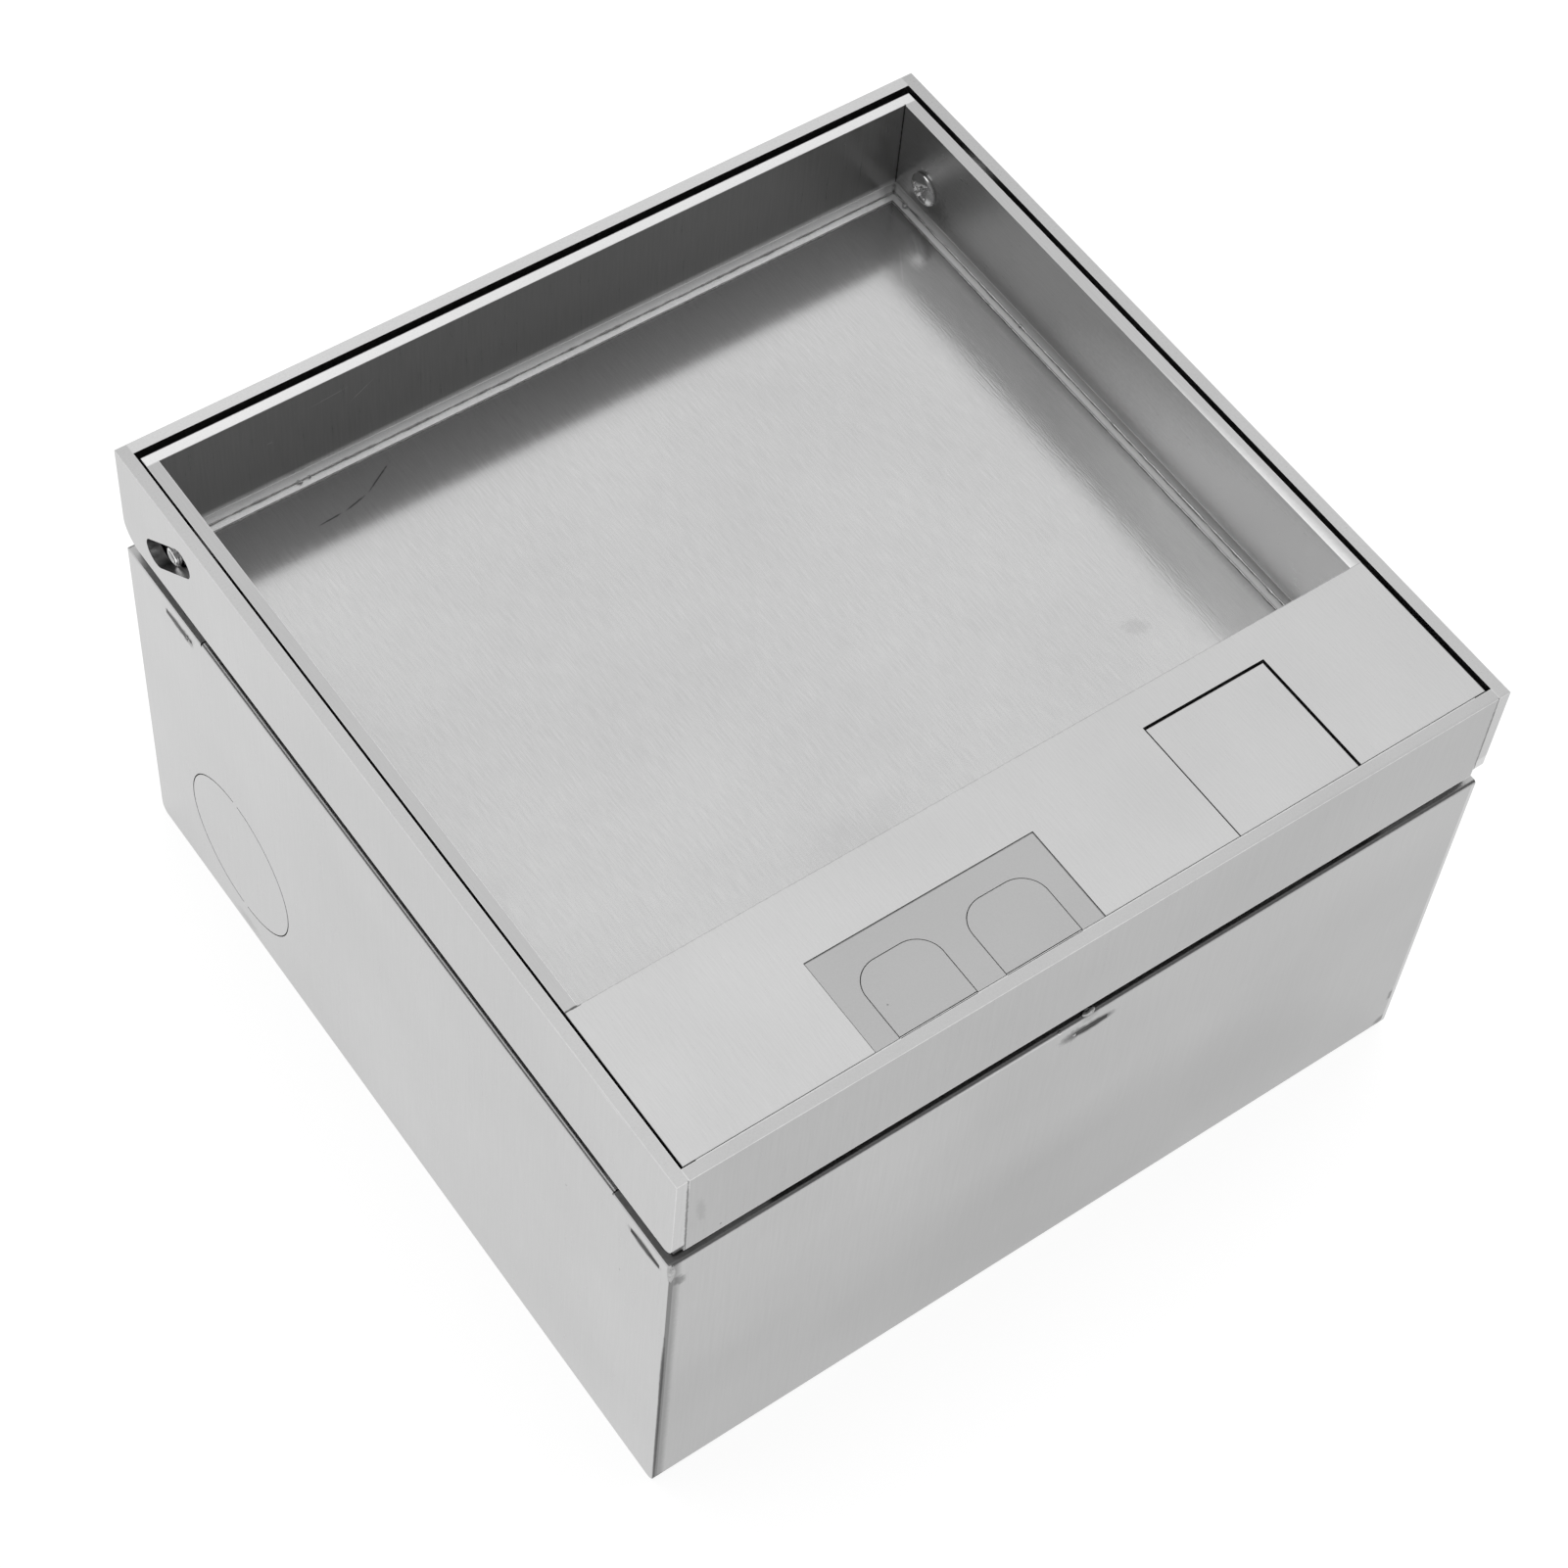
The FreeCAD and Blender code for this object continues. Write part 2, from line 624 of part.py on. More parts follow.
OUTLET_MIDDLE = "(outlet_left + outlet_width / 2)"
TAB_PIN_Y = f"({LID_FRONT} + tab_depth - tab_pin_back)"
TAB_PIN_Z = f"({TOP} - tab_pin_drop)"
TAB_SIDES = (
    ("left", f"({OUTLET_MIDDLE} - tab_pitch / 2)"),
    ("right", f"({OUTLET_MIDDLE} + tab_pitch / 2)"),
)
OUTLET_LOW = f"({STRIP_LOW} - outlet_rim)"
outlet_x = ("outlet_left + outlet_gap", f"{OUTLET_RIGHT} - outlet_gap")
outlet_y = (LID_FRONT, f"{OUTLET_BACK} - outlet_gap")
outlet_body = plate("cable_outlet", "top", OUTLET_LOW, TOP, corners(outlet_x, outlet_y))
outlet_lip = sketch_on(outlet_body, "top", OUTLET_LOW)
rectangle(outlet_lip, ("outlet_left - outlet_lip", f"{OUTLET_RIGHT} + outlet_lip"),
          (f"{LID_FRONT} + 1", f"{OUTLET_BACK} + outlet_lip"))
pad(outlet_body, outlet_lip, "outlet_rim")
for side, middle in TAB_SIDES:
    notch = sketch_on(outlet_body, "top", TOP)
    rectangle(notch, (f"{middle} - tab_width / 2", f"{middle} + tab_width / 2"),
              (f"{LID_FRONT} - 1", f"{LID_FRONT} + tab_depth"))
    pocket(outlet_body, notch, "strip_thick + outlet_rim")


def on_notch_corner(p):
    """True on the upright edges at the closed end of each U notch."""
    lies = [near(abs(p.x - measure(middle)), "tab_width / 2") for side, middle in TAB_SIDES]
    return any(lies) and near(p.y, f"{LID_FRONT} + tab_depth")


dress(outlet_body, "Fillet", "tab_corner", on_notch_corner)
for side, middle in TAB_SIDES:
    snap = sketch_on(outlet_body, "side", f"{middle} + tab_width / 2 + 1.5")
    fit = "(tab_pin + hinge_fit)"
    rectangle(snap, (f"{TAB_PIN_Y} - {fit}", f"{TAB_PIN_Y} + {fit}"), (OUTLET_LOW, f"{TAB_PIN_Z} + {fit}"))
    pocket(outlet_body, snap, "tab_width + 3")


def cable_flap(side, middle):
    """One U-shaped flap with a hinge knuckle under its closed end."""
    label = f"cable_flap_{side}"
    half = "(tab_width / 2 - tab_gap)"
    back = f"({LID_FRONT} + tab_depth - tab_gap)"
    outline = corners((f"{middle} - {half}", f"{middle} + {half}"), (f"{LID_FRONT} + tab_front", back))
    body = plate(label, "top", f"{TOP} - tab_thick", TOP, outline)

    def on_corner(p):
        return near(abs(p.x - measure(middle)), half) and near(p.y, back)

    dress(body, "Fillet", "tab_corner - tab_gap", on_corner)
    barrel_end = f"{middle} + tab_knuckle_width / 2"
    barrel = sketch_on(body, "side", f"{middle} - tab_knuckle_width / 2")
    polygon(barrel, corners((f"{TAB_PIN_Y} - tab_knuckle", f"{TAB_PIN_Y} + tab_knuckle"),
                            (f"{TAB_PIN_Z} - tab_knuckle", f"{TOP} - tab_thick")))
    pad(body, barrel, "tab_knuckle_width")
    bore = sketch_on(body, "side", barrel_end)
    circle(bore, TAB_PIN_Y, TAB_PIN_Z, "tab_pin + hinge_fit")
    pocket(body, bore, "tab_knuckle_width")


def cable_flap_spring(side, middle):
    """Torsion spring beside the knuckle: one leg under the flap, one back to the outlet."""
    name = f"tab_spring_{side}"
    start = (f"{middle} + tab_knuckle_width / 2 + spring_tip", TAB_PIN_Y, TAB_PIN_Z)
    leg_x = f"{start[0]} + tab_spring_wire"
    reach = "(tab_pin_back - 2 * spring_tip)"
    front_leg = wire_leg(f"{name}_front_leg", "tab_spring_wire", leg_x,
                         (f"{TAB_PIN_Y} - {reach}", TAB_PIN_Y), f"{TAB_PIN_Z} + tab_spring_radius")
    rear_leg = wire_leg(f"{name}_rear_leg", "tab_spring_wire", leg_x,
                        (TAB_PIN_Y, f"{TAB_PIN_Y} + {reach}"), f"{TAB_PIN_Z} - tab_spring_radius")
    spring = torsion_spring(name, start, "tab_spring_radius", "tab_spring_wire", front_leg, rear_leg)
    publish(spring, f"cable_flap_spring_{side}")


TAB_PIN_LENGTH = "(tab_width + 2)"
tab_pins = []
for side, middle in TAB_SIDES:
    cable_flap(side, middle)
    cable_flap_spring(side, middle)
    start = (f"{middle} - {TAB_PIN_LENGTH} / 2", TAB_PIN_Y, TAB_PIN_Z)
    tab_pins.append(rod(f"tab_pin_{side}", "x", start, "tab_pin", TAB_PIN_LENGTH))
publish(group("tab_pin_pair", tab_pins), "cable_flap_pins")


# ---- Folded box: front, bottom and back in one sheet, side panels tabbed on

SHELL_FOLD = [
    (f"-{END}", "0"), (END, "0"), (END, RIM), (REAR_SEAM, RIM), (REAR_SEAM, f"{RIM} - sheet"),
    (f"{END} - sheet", f"{RIM} - sheet"), (f"{END} - sheet", "sheet"),
    (f"-{END} + sheet", "sheet"), (f"-{END} + sheet", f"{RIM} - sheet"),
    (FRONT_SEAM, f"{RIM} - sheet"), (FRONT_SEAM, RIM), (f"-{END}", RIM),
]
shell = plate("box_shell", "side", f"-{PANEL_IN}", PANEL_IN, SHELL_FOLD)
FLANGE_LOW = "base_radius + 1"
FLANGE_HIGH = f"({SHELF_LOW} - 3)"
strips = sketch_on(shell, "top", FLANGE_LOW)
for left, right in ((f"-{PANEL_IN}", f"-{PANEL_IN} + sheet"), (f"{PANEL_IN} - sheet", PANEL_IN)):
    rectangle(strips, (left, right), (f"-{END} + sheet / 2", f"-{END} + corner_flange"))
    rectangle(strips, (left, right), (f"{END} - corner_flange", f"{END} - sheet / 2"))
pad(shell, strips, f"{FLANGE_HIGH} - ({FLANGE_LOW})")
ends = sketch_on(shell, "top", f"{RIM} - sheet")
for left, right in ((f"-{SIDE}", f"-{PANEL_IN}"), (PANEL_IN, SIDE)):
    rectangle(ends, (left, right), (f"-{END}", FRONT_SEAM))
    rectangle(ends, (left, right), (REAR_SEAM, END))
pad(shell, ends, "sheet")

TAB_SLOT_Z = (f"{SHELF_LOW} - slot_fit", f"{SHELF_TOP} + slot_fit")
MIDDLE_TAB_X = ("-front_tab / 2 - slot_fit", "front_tab / 2 + slot_fit")
front_slot = sketch_on(shell, "front", f"-{END}")
rectangle(front_slot, MIDDLE_TAB_X, TAB_SLOT_Z)
pocket(shell, front_slot, "sheet")
rear_slot = sketch_on(shell, "front", f"{END} - sheet")
rectangle(rear_slot, MIDDLE_TAB_X, TAB_SLOT_Z)
pocket(shell, rear_slot, "sheet")
fixings = sketch_on(shell, "top", "sheet")
for x in (-1, 1):
    for y in (-1, 1):
        circle(fixings, f"{x} * fixing_span / 2", f"{y} * fixing_span / 2", "fixing_radius")
pocket(shell, fixings, "sheet")
FRONT_SCREW_Y = f"(-{END} + front_screw)"
REAR_SCREW_Y = f"({END} - rear_screw)"
SCREW_X = f"({SIDE} - screw_inset)"
seat_holes = sketch_on(shell, "top", RIM)
for x in (-1, 1):
    for y in (FRONT_SCREW_Y, REAR_SCREW_Y):
        polygon(seat_holes, square(f"{x} * {SCREW_X}", y, "screw_radius + screw_fit"))
pocket(shell, seat_holes, "sheet")


def on_inner_bend(p):
    return near(abs(p.y), f"{END} - sheet") and near(p.z, "sheet")


dress(shell, "Fillet", "base_radius", lambda p: near(abs(p.y), END) and near(p.z, "0"))
dress(shell, "Fillet", "base_radius - sheet", on_inner_bend)
dress(shell, "Fillet", "bend_radius", lambda p: near(abs(p.y), END) and near(p.z, RIM))


def side_panel(label, low, high, knockout_y, flange):
    """Side of the box: stepped top edge, folded flange, tab slots and a knockout."""
    seam = f"{FRONT_SEAM} + seam_gap", f"{REAR_SEAM} - seam_gap"
    step = f"({RIM} - sheet)"
    outline = [
        (f"-{END}", "0"), (END, "0"), (END, step), (seam[1], step), (seam[1], RIM),
        (seam[0], RIM), (seam[0], step), (f"-{END}", step),
    ]
    body = plate(label, "side", low, high, outline)
    fold = sketch_on(body, "top", step)
    rectangle(fold, flange, seam)
    pad(body, fold, "sheet")
    slots = sketch_on(body, "side", high)
    half = "tab_slot / 2 + slot_fit"
    for middle in (FRONT_TAB_Y, REAR_TAB_Y):
        rectangle(slots, (f"{middle} - ({half})", f"{middle} + {half}"), TAB_SLOT_Z)
    pocket(body, slots, "sheet")
    for half in (-1, 1):
        kerf = sketch_on(body, "side", high)
        kerf_half(kerf, knockout_y, "knockout_height", half)
        pocket(body, kerf, "sheet")
    dress(body, "Fillet", "base_radius", lambda p: near(abs(p.y), END) and near(p.z, "0"))
    dress(body, "Fillet", "bend_radius", lambda p: near(abs(p.x), SIDE) and near(p.z, RIM))


FRONT_TAB_Y = f"(-{END} + front_tab)"
REAR_TAB_Y = f"({END} - rear_tab)"
KNOCKOUT_Y = f"({END} - knockout_back)"
FLANGE_IN = f"({SIDE} - side_flange)"
side_panel("left_side_panel", f"-{SIDE}", f"-{PANEL_IN}", KNOCKOUT_Y, (f"-{PANEL_IN}", f"-{FLANGE_IN}"))
side_panel("right_side_panel", PANEL_IN, SIDE, f"-{KNOCKOUT_Y}", (FLANGE_IN, PANEL_IN))


# ---- Brackets under the flanges, with tabs through the slots

def corner_bracket(side, end):
    """Folded corner bracket: a shelf with its tab in the side panel and a web up to the flange."""
    across = "left" if side < 0 else "right"
    along = "front" if end < 0 else "rear"
    label = f"corner_bracket_{along}_{across}"
    middle = FRONT_TAB_Y if end < 0 else REAR_TAB_Y
    half = "(tab_slot / 2 + 2)"
    web = f"{SIDE} - bracket_width"
    profile = [
        (PANEL_IN, SHELF_LOW), (PANEL_IN, SHELF_TOP), (f"{web} + bracket_thick", SHELF_TOP),
        (f"{web} + bracket_thick", f"{RIM} - sheet"), (web, f"{RIM} - sheet"), (web, SHELF_LOW),
    ]
    span = (f"{middle} - {half}", f"{middle} + {half}")
    if end < 0:
        span = (f"-{END} + sheet", span[1])
    body = plate(label, "front", span[0], span[1], [(f"{side} * ({x})", z) for x, z in profile])
    tab = sketch_on(body, "top", SHELF_LOW)
    tab_x = sorted((f"{side} * {PANEL_IN}", f"{side} * {SIDE}"), key=measure)
    rectangle(tab, tab_x, (f"{middle} - tab_slot / 2", f"{middle} + tab_slot / 2"))
    pad(body, tab, "bracket_thick")
    screw_y = FRONT_SCREW_Y if end < 0 else REAR_SCREW_Y
    relief = sketch_on(body, "top", SHELF_TOP)
    polygon(relief, square(f"{side} * {SCREW_X}", screw_y, "screw_radius + 1"))
    pocket(body, relief, "bracket_thick")


def middle_bracket(end):
    """Bracket at the middle of the front or back: shelf, tab and web."""
    label = "front_middle_bracket" if end < 0 else "rear_middle_bracket"
    depth = "front_flange" if end < 0 else "bracket_width"
    wall, web = f"({END} - sheet)", f"({END} - {depth} + 2)"
    profile = [
        (wall, SHELF_LOW), (wall, SHELF_TOP), (f"{web} + bracket_thick", SHELF_TOP),
        (f"{web} + bracket_thick", f"{RIM} - sheet"), (web, f"{RIM} - sheet"), (web, SHELF_LOW),
    ]
    body = plate(label, "side", "-front_tab", "front_tab", [(f"{end} * ({y})", z) for y, z in profile])
    tab = sketch_on(body, "top", SHELF_LOW)
    tab_y = sorted((f"{end} * {wall}", f"{end} * {END}"), key=measure)
    rectangle(tab, ("-front_tab / 2", "front_tab / 2"), tab_y)
    pad(body, tab, "bracket_thick")


for end in (-1, 1):
    middle_bracket(end)
    for side in (-1, 1):
        corner_bracket(side, end)


# ---- Frame seats: welded under the bar corners and screwed down to the box flanges

SCREW_HOLE = "(screw_radius + screw_fit)"
SHIM_HALF = "(screw_radius * 2.1)"


def screw_slot(side, end):
    """X span of a slot from a frame screw to an end nearer the middle, on one side of the part."""
    return sorted((f"{side} * ({SCREW_X} + {SCREW_HOLE})", f"{side} * ({end} - 1)"), key=measure)


def frame_seat(side, end):
    """Flat seat with a rim up to the underside of the bars, an open screw slot and a cut corner."""
    across = "left" if side < 0 else "right"
    along = "front" if end < 0 else "rear"
    outer_x, outer_y = f"({SIDE} - seat_setback)", f"({END} - seat_setback)"
    inner_x = f"({SIDE} - seat_width)"
    inner_y = f"({END} - {'seat_width' if end < 0 else 'rear_flange'})"
    cut_back = "(seat_width / 4)"
    outline = [
        (outer_x, outer_y), (outer_x, inner_y), (f"{inner_x} + {cut_back}", inner_y),
        (inner_x, f"{inner_y} + {cut_back}"), (inner_x, outer_y),
    ]
    rim = [
        (outer_x, outer_y), (outer_x, inner_y), (f"{outer_x} - seat_rim", inner_y),
        (f"{outer_x} - seat_rim", f"{outer_y} - seat_rim"),
        (inner_x, f"{outer_y} - seat_rim"), (inner_x, outer_y),
    ]
    body = plate(f"frame_seat_{along}_{across}", "top", SEAT_LOW, SEAT_TOP,
                 [(f"{side} * ({x})", f"{end} * ({y})") for x, y in outline])
    upstand = sketch_on(body, "top", SEAT_TOP)
    polygon(upstand, [(f"{side} * ({x})", f"{end} * ({y})") for x, y in rim])
    pad(body, upstand, f"{BAR_LOW} - {SEAT_TOP}")
    slot = sketch_on(body, "top", SEAT_TOP)
    screw_y = FRONT_SCREW_Y if end < 0 else REAR_SCREW_Y
    slot_y = (f"{screw_y} - {SCREW_HOLE}", f"{screw_y} + {SCREW_HOLE}")
    rectangle(slot, screw_slot(side, inner_x), slot_y)
    pocket(body, slot, "seat_thick")


def hex_screw(name, start, radius, length, height):
    """Hexagon-head screw that points down from a seat; start is under the head."""
    x, y, z = start
    shank = rod(f"{name}_shank", "z", (x, y, f"{z} - ({length})"), radius, length)
    head = hexagon(f"{name}_head", start, f"({radius}) * 3.2", height)
    return join(name, shank, head)


spacers, screws, nuts, pads = [], [], [], []
FRONT_PAD_Y = f"(-{END} + seat_width - pad_length)"
REAR_PAD_Y = f"({END} - rear_flange + pad_length / 2)"
for end, screw_y, pad_y in ((-1, FRONT_SCREW_Y, FRONT_PAD_Y), (1, REAR_SCREW_Y, REAR_PAD_Y)):
    for side in (-1, 1):
        frame_seat(side, end)
        key = f"{'front' if end < 0 else 'rear'}_{'left' if side < 0 else 'right'}"
        x = f"{side} * {SCREW_X}"
        blank = upright(f"spacer_{key}_blank", x, screw_y, (RIM, SEAT_LOW), SHIM_HALF)
        slot_x = screw_slot(side, f"{SCREW_X} - {SHIM_HALF}")
        slot_y = (f"{screw_y} - {SCREW_HOLE}", f"{screw_y} + {SCREW_HOLE}")
        slot = block(f"spacer_{key}_slot", slot_x, slot_y, (RIM, SEAT_LOW))
        spacers.append(cut(f"spacer_{key}", blank, slot))
        seat = (x, screw_y, SEAT_TOP)
        screws.append(hex_screw(f"frame_screw_{key}", seat, "screw_radius", "screw_length", "screw_head"))
        nut_low = (x, screw_y, f"{RIM} - sheet - nut_height")
        flats = hexagon(f"nut_{key}_flats", nut_low, "screw_radius * 3.2", "nut_height")
        thread = rod(f"nut_{key}_thread", "z", nut_low, "screw_radius + hinge_fit", "nut_height")
        nuts.append(cut(f"nut_{key}", flats, thread))
        wall = (LID_LEFT, WALL_IN_LEFT) if side < 0 else (WALL_IN_RIGHT, LID_RIGHT)
        rest = (f"{pad_y} - pad_length / 2", f"{pad_y} + pad_length / 2")
        pads.append(block(f"pad_{key}", wall, rest, (SEAT_TOP, LID_LOW)))
publish(group("spacer_set", spacers), "frame_spacers")
publish(group("frame_screw_set", screws), "frame_screws")
publish(group("nut_set", nuts), "weld_nuts")
publish(group("pad_set", pads), "lid_rest_pads")


# ---- Socket carrier on two rails

def rail(label, side):
    """Angle welded along a side panel; its top leg takes the carrier."""
    leg_in = f"{PANEL_IN} - rail_width"
    profile = [
        (PANEL_IN, f"{CARRIER_LOW} - rail_height"), (PANEL_IN, CARRIER_LOW), (leg_in, CARRIER_LOW),
        (leg_in, f"{CARRIER_LOW} - bracket_thick"),
        (f"{PANEL_IN} - bracket_thick", f"{CARRIER_LOW} - bracket_thick"),
        (f"{PANEL_IN} - bracket_thick", f"{CARRIER_LOW} - rail_height"),
    ]
    outline = [(f"{side} * ({x})", z) for x, z in profile]
    body = plate(label, "front", "-rail_length / 2", "rail_length / 2", outline)
    holes = sketch_on(body, "top", CARRIER_LOW)
    for y in (-1, 1):
        circle(holes, f"{side} * {CARRIER_SCREW_X}", f"{y} * carrier_span / 2", "carrier_screw + hinge_fit")
    pocket(body, holes, "bracket_thick")


CARRIER_SCREW_X = f"({PANEL_IN} - rail_width / 2)"
rail("carrier_rail_left", -1)
rail("carrier_rail_right", 1)

CARRIER_X = f"({PANEL_IN} - carrier_margin)"
CARRIER_Y = f"({END} - sheet - carrier_gap)"
carrier = plate("socket_carrier", "top", CARRIER_LOW, "carrier_height",
                corners((f"-{CARRIER_X}", CARRIER_X), (f"-{CARRIER_Y}", CARRIER_Y)))
MODULES = [
    ("power_socket_1", "-module_pitch", "row_front"), ("power_socket_2", "0", "row_front"),
    ("power_socket_3", "module_pitch", "row_front"), ("data_module_left", "-module_pitch", "row_rear"),
    ("blank_module", "0", "row_rear"), ("data_module_right", "module_pitch", "row_rear"),
]
windows = sketch_on(carrier, "top", "carrier_height")
for label, x, y in MODULES:
    polygon(windows, square(x, y, "module / 2"))
for side in (-1, 1):
    closed = f"{side} * ({CARRIER_SCREW_X} - carrier_screw - screw_fit)"
    slot_x = sorted((closed, f"{side} * ({CARRIER_X} + 1)"), key=measure)
    for y in ("-carrier_span / 2", "carrier_span / 2"):
        rectangle(windows, slot_x, (f"{y} - carrier_screw - screw_fit", f"{y} + carrier_screw + screw_fit"))
pocket(carrier, windows, "carrier_thick")

carrier_screws = []
for x in (-1, 1):
    for y in (-1, 1):
        seat = (f"{x} * {CARRIER_SCREW_X}", f"{y} * carrier_span / 2", "carrier_height")
        name = f"carrier_screw_{len(carrier_screws)}"
        carrier_screws.append(hex_screw(name, seat, "carrier_screw", "6", "2.8"))
publish(group("carrier_screw_set", carrier_screws), "carrier_screws")


# ---- 45 mm modules

FACE = "(carrier_height + face_thick)"


def module_body(label, x, y, depth):
    """Face flange on the carrier and a square body through its window."""
    body = plate(label, "top", "carrier_height", FACE, square(x, y, "module / 2 + module_lip"))
    stem = sketch_on(body, "top", f"carrier_height - ({depth})")
    polygon(stem, square(x, y, "module / 2 - module_fit"))
    pad(body, stem, depth)
    lip = "module / 2 + module_lip"

    def on_face_corner(p):
        return near(abs(p.x - measure(x)), lip) and near(abs(p.y - measure(y)), lip)

    dress(body, "Chamfer", "1", on_face_corner)
    return body


RECESS_FLOOR = f"({FACE} - recess_depth)"
SLEEVE_HALF = "(contact_radius - hinge_fit) * cos(45)"
sleeves, earths = [], []
for label, x, y in MODULES[:3]:
    body = module_body(label, x, y, "socket_depth")
    recess = sketch_on(body, "top", FACE)
    circle(recess, x, y, "recess_radius")
    pocket(body, recess, "recess_depth")
    contacts = sketch_on(body, "top", RECESS_FLOOR)
    for side in (-1, 1):
        circle(contacts, f"{x} + {side} * contact_span / 2", y, "contact_radius")
    pocket(body, contacts, "sleeve_length + 2")
    for side in (-1, 1):
        middle = f"{x} + {side} * contact_span / 2"
        span = (f"{RECESS_FLOOR} - sleeve_length - 1", f"{RECESS_FLOOR} - 1")
        name = f"{label}_sleeve_{'left' if side < 0 else 'right'}"
        tube = upright(f"{name}_tube", middle, y, span, SLEEVE_HALF)
        bore = upright(f"{name}_bore", middle, y, span, f"{SLEEVE_HALF} - sleeve_wall")
        sleeves.append(cut(name, tube, bore))
        strap_edges = [f"{y} + {side} * (recess_radius - 0.4 - {t})" for t in ("0", "earth_thick")]
        strap_y = sorted(strap_edges, key=measure)
        strap_x = (f"{x} - earth_width / 2", f"{x} + earth_width / 2")
        earths.append(block(f"{label}_earth_{side + 1}", strap_x, strap_y, (RECESS_FLOOR, f"{FACE} - 3")))
publish(group("sleeve_set", sleeves), "contact_sleeves")
publish(group("earth_set", earths), "earth_contacts")

jacks = []
for label, x, y in (MODULES[3], MODULES[5]):
    body = module_body(label, x, y, "10")
    doors = sketch_on(body, "top", FACE)
    for side in (-1, 1):
        middle = f"{x} + {side} * jack_pitch / 2"
        rectangle(doors, (f"{middle} - jack_width / 2", f"{middle} + jack_width / 2"),
                  (f"{y} - jack_height / 2", f"{y} + jack_height / 2"))
    pocket(body, doors, "face_thick + 10")
    for side in (-1, 1):
        middle = f"{x} + {side} * jack_pitch / 2"
        name = f"{label}_jack_{side + 1}"
        fit = "module_fit / 2"
        shell_x = (f"{middle} - jack_width / 2 + {fit}", f"{middle} + jack_width / 2 - {fit}")
        shell_y = (f"{y} - jack_height / 2 + {fit}", f"{y} + jack_height / 2 - {fit}")
        case = block(f"{name}_case", shell_x, shell_y, (f"{FACE} - jack_depth", FACE))
        mouth = block(f"{name}_mouth", (f"{middle} - 5.9", f"{middle} + 5.9"), (f"{y} - 4.2", f"{y} + 4.2"),
                      (f"{FACE} - jack_depth / 2", FACE))
        latch = block(f"{name}_latch", (f"{middle} - 3", f"{middle} + 3"), (f"{y} + 4", f"{y} + 6.2"),
                      (f"{FACE} - jack_depth / 2", FACE))
        jacks.append(cut(name, case, mouth, latch))
publish(group("jack_set", jacks), "data_jacks")

label, x, y = MODULES[4]
blank = module_body(label, x, y, "10")
blank_hollow = sketch_on(blank, "top", "carrier_height")
polygon(blank_hollow, square(x, y, "module / 2 - 2"))
pocket(blank, blank_hollow, "10")


# ---- Earth stud on the floor of the box

STUD_X = f"(-{PANEL_IN} + stud_inset)"
STUD_Y = f"({END} - stud_inset)"
publish(rod("earth_rod", "z", (STUD_X, STUD_Y, "sheet"), "stud_radius", "stud_length"), "earth_stud")
washer = cut(
    "earth_washer",
    upright("earth_washer_plate", STUD_X, STUD_Y, ("sheet", "sheet + 1.6"), "stud_radius * 2"),
    rod("earth_washer_bore", "z", (STUD_X, STUD_Y, "sheet"), "stud_radius + hinge_fit", "1.6"),
)
nut_foot = (STUD_X, STUD_Y, "sheet + 1.6")
earth_nut = cut(
    "earth_nut",
    hexagon("earth_nut_blank", nut_foot, "stud_radius * 10 / 3", "5"),
    rod("earth_nut_thread", "z", nut_foot, "stud_radius + hinge_fit", "5"),
)
publish(group("earth_set_fixings", [washer, earth_nut]), "earth_fixings")


# ---- Checks and export

doc.recompute()
for item in doc.Objects:
    if "Invalid" in item.State or "Error" in item.State:
        raise ValueError(f"{item.Name} does not compute: {item.State}")
for item in nodes:
    if item.Shape.isNull() or not item.Shape.isValid():
        raise ValueError(f"{item.Label} has no sound shape")
    item.Shape.exportStep(f"parts/{item.Label}.step")
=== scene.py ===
import math

import bpy
import numpy as np
from mathutils import Matrix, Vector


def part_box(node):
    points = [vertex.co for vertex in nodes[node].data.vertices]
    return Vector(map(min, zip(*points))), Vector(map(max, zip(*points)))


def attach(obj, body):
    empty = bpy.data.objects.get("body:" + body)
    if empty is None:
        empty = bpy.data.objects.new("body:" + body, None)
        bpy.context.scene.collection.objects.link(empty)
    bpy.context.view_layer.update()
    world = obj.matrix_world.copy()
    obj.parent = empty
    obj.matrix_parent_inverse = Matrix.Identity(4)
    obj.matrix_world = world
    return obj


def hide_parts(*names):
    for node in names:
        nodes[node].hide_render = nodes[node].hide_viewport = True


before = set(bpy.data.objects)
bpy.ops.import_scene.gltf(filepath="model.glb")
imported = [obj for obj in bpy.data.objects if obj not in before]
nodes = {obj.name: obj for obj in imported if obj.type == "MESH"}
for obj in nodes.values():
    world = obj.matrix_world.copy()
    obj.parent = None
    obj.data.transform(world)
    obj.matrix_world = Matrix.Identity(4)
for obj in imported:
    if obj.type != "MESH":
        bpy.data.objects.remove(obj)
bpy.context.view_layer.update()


# ---- Studio
# A pale floor under the box and a soft sky that is bright behind it, as a big softbox would be.
# One overhead lamp lights what is matt and gives the shadow; metal shows only floor and sky.

scene = bpy.context.scene
scene.view_settings.view_transform = "Standard"


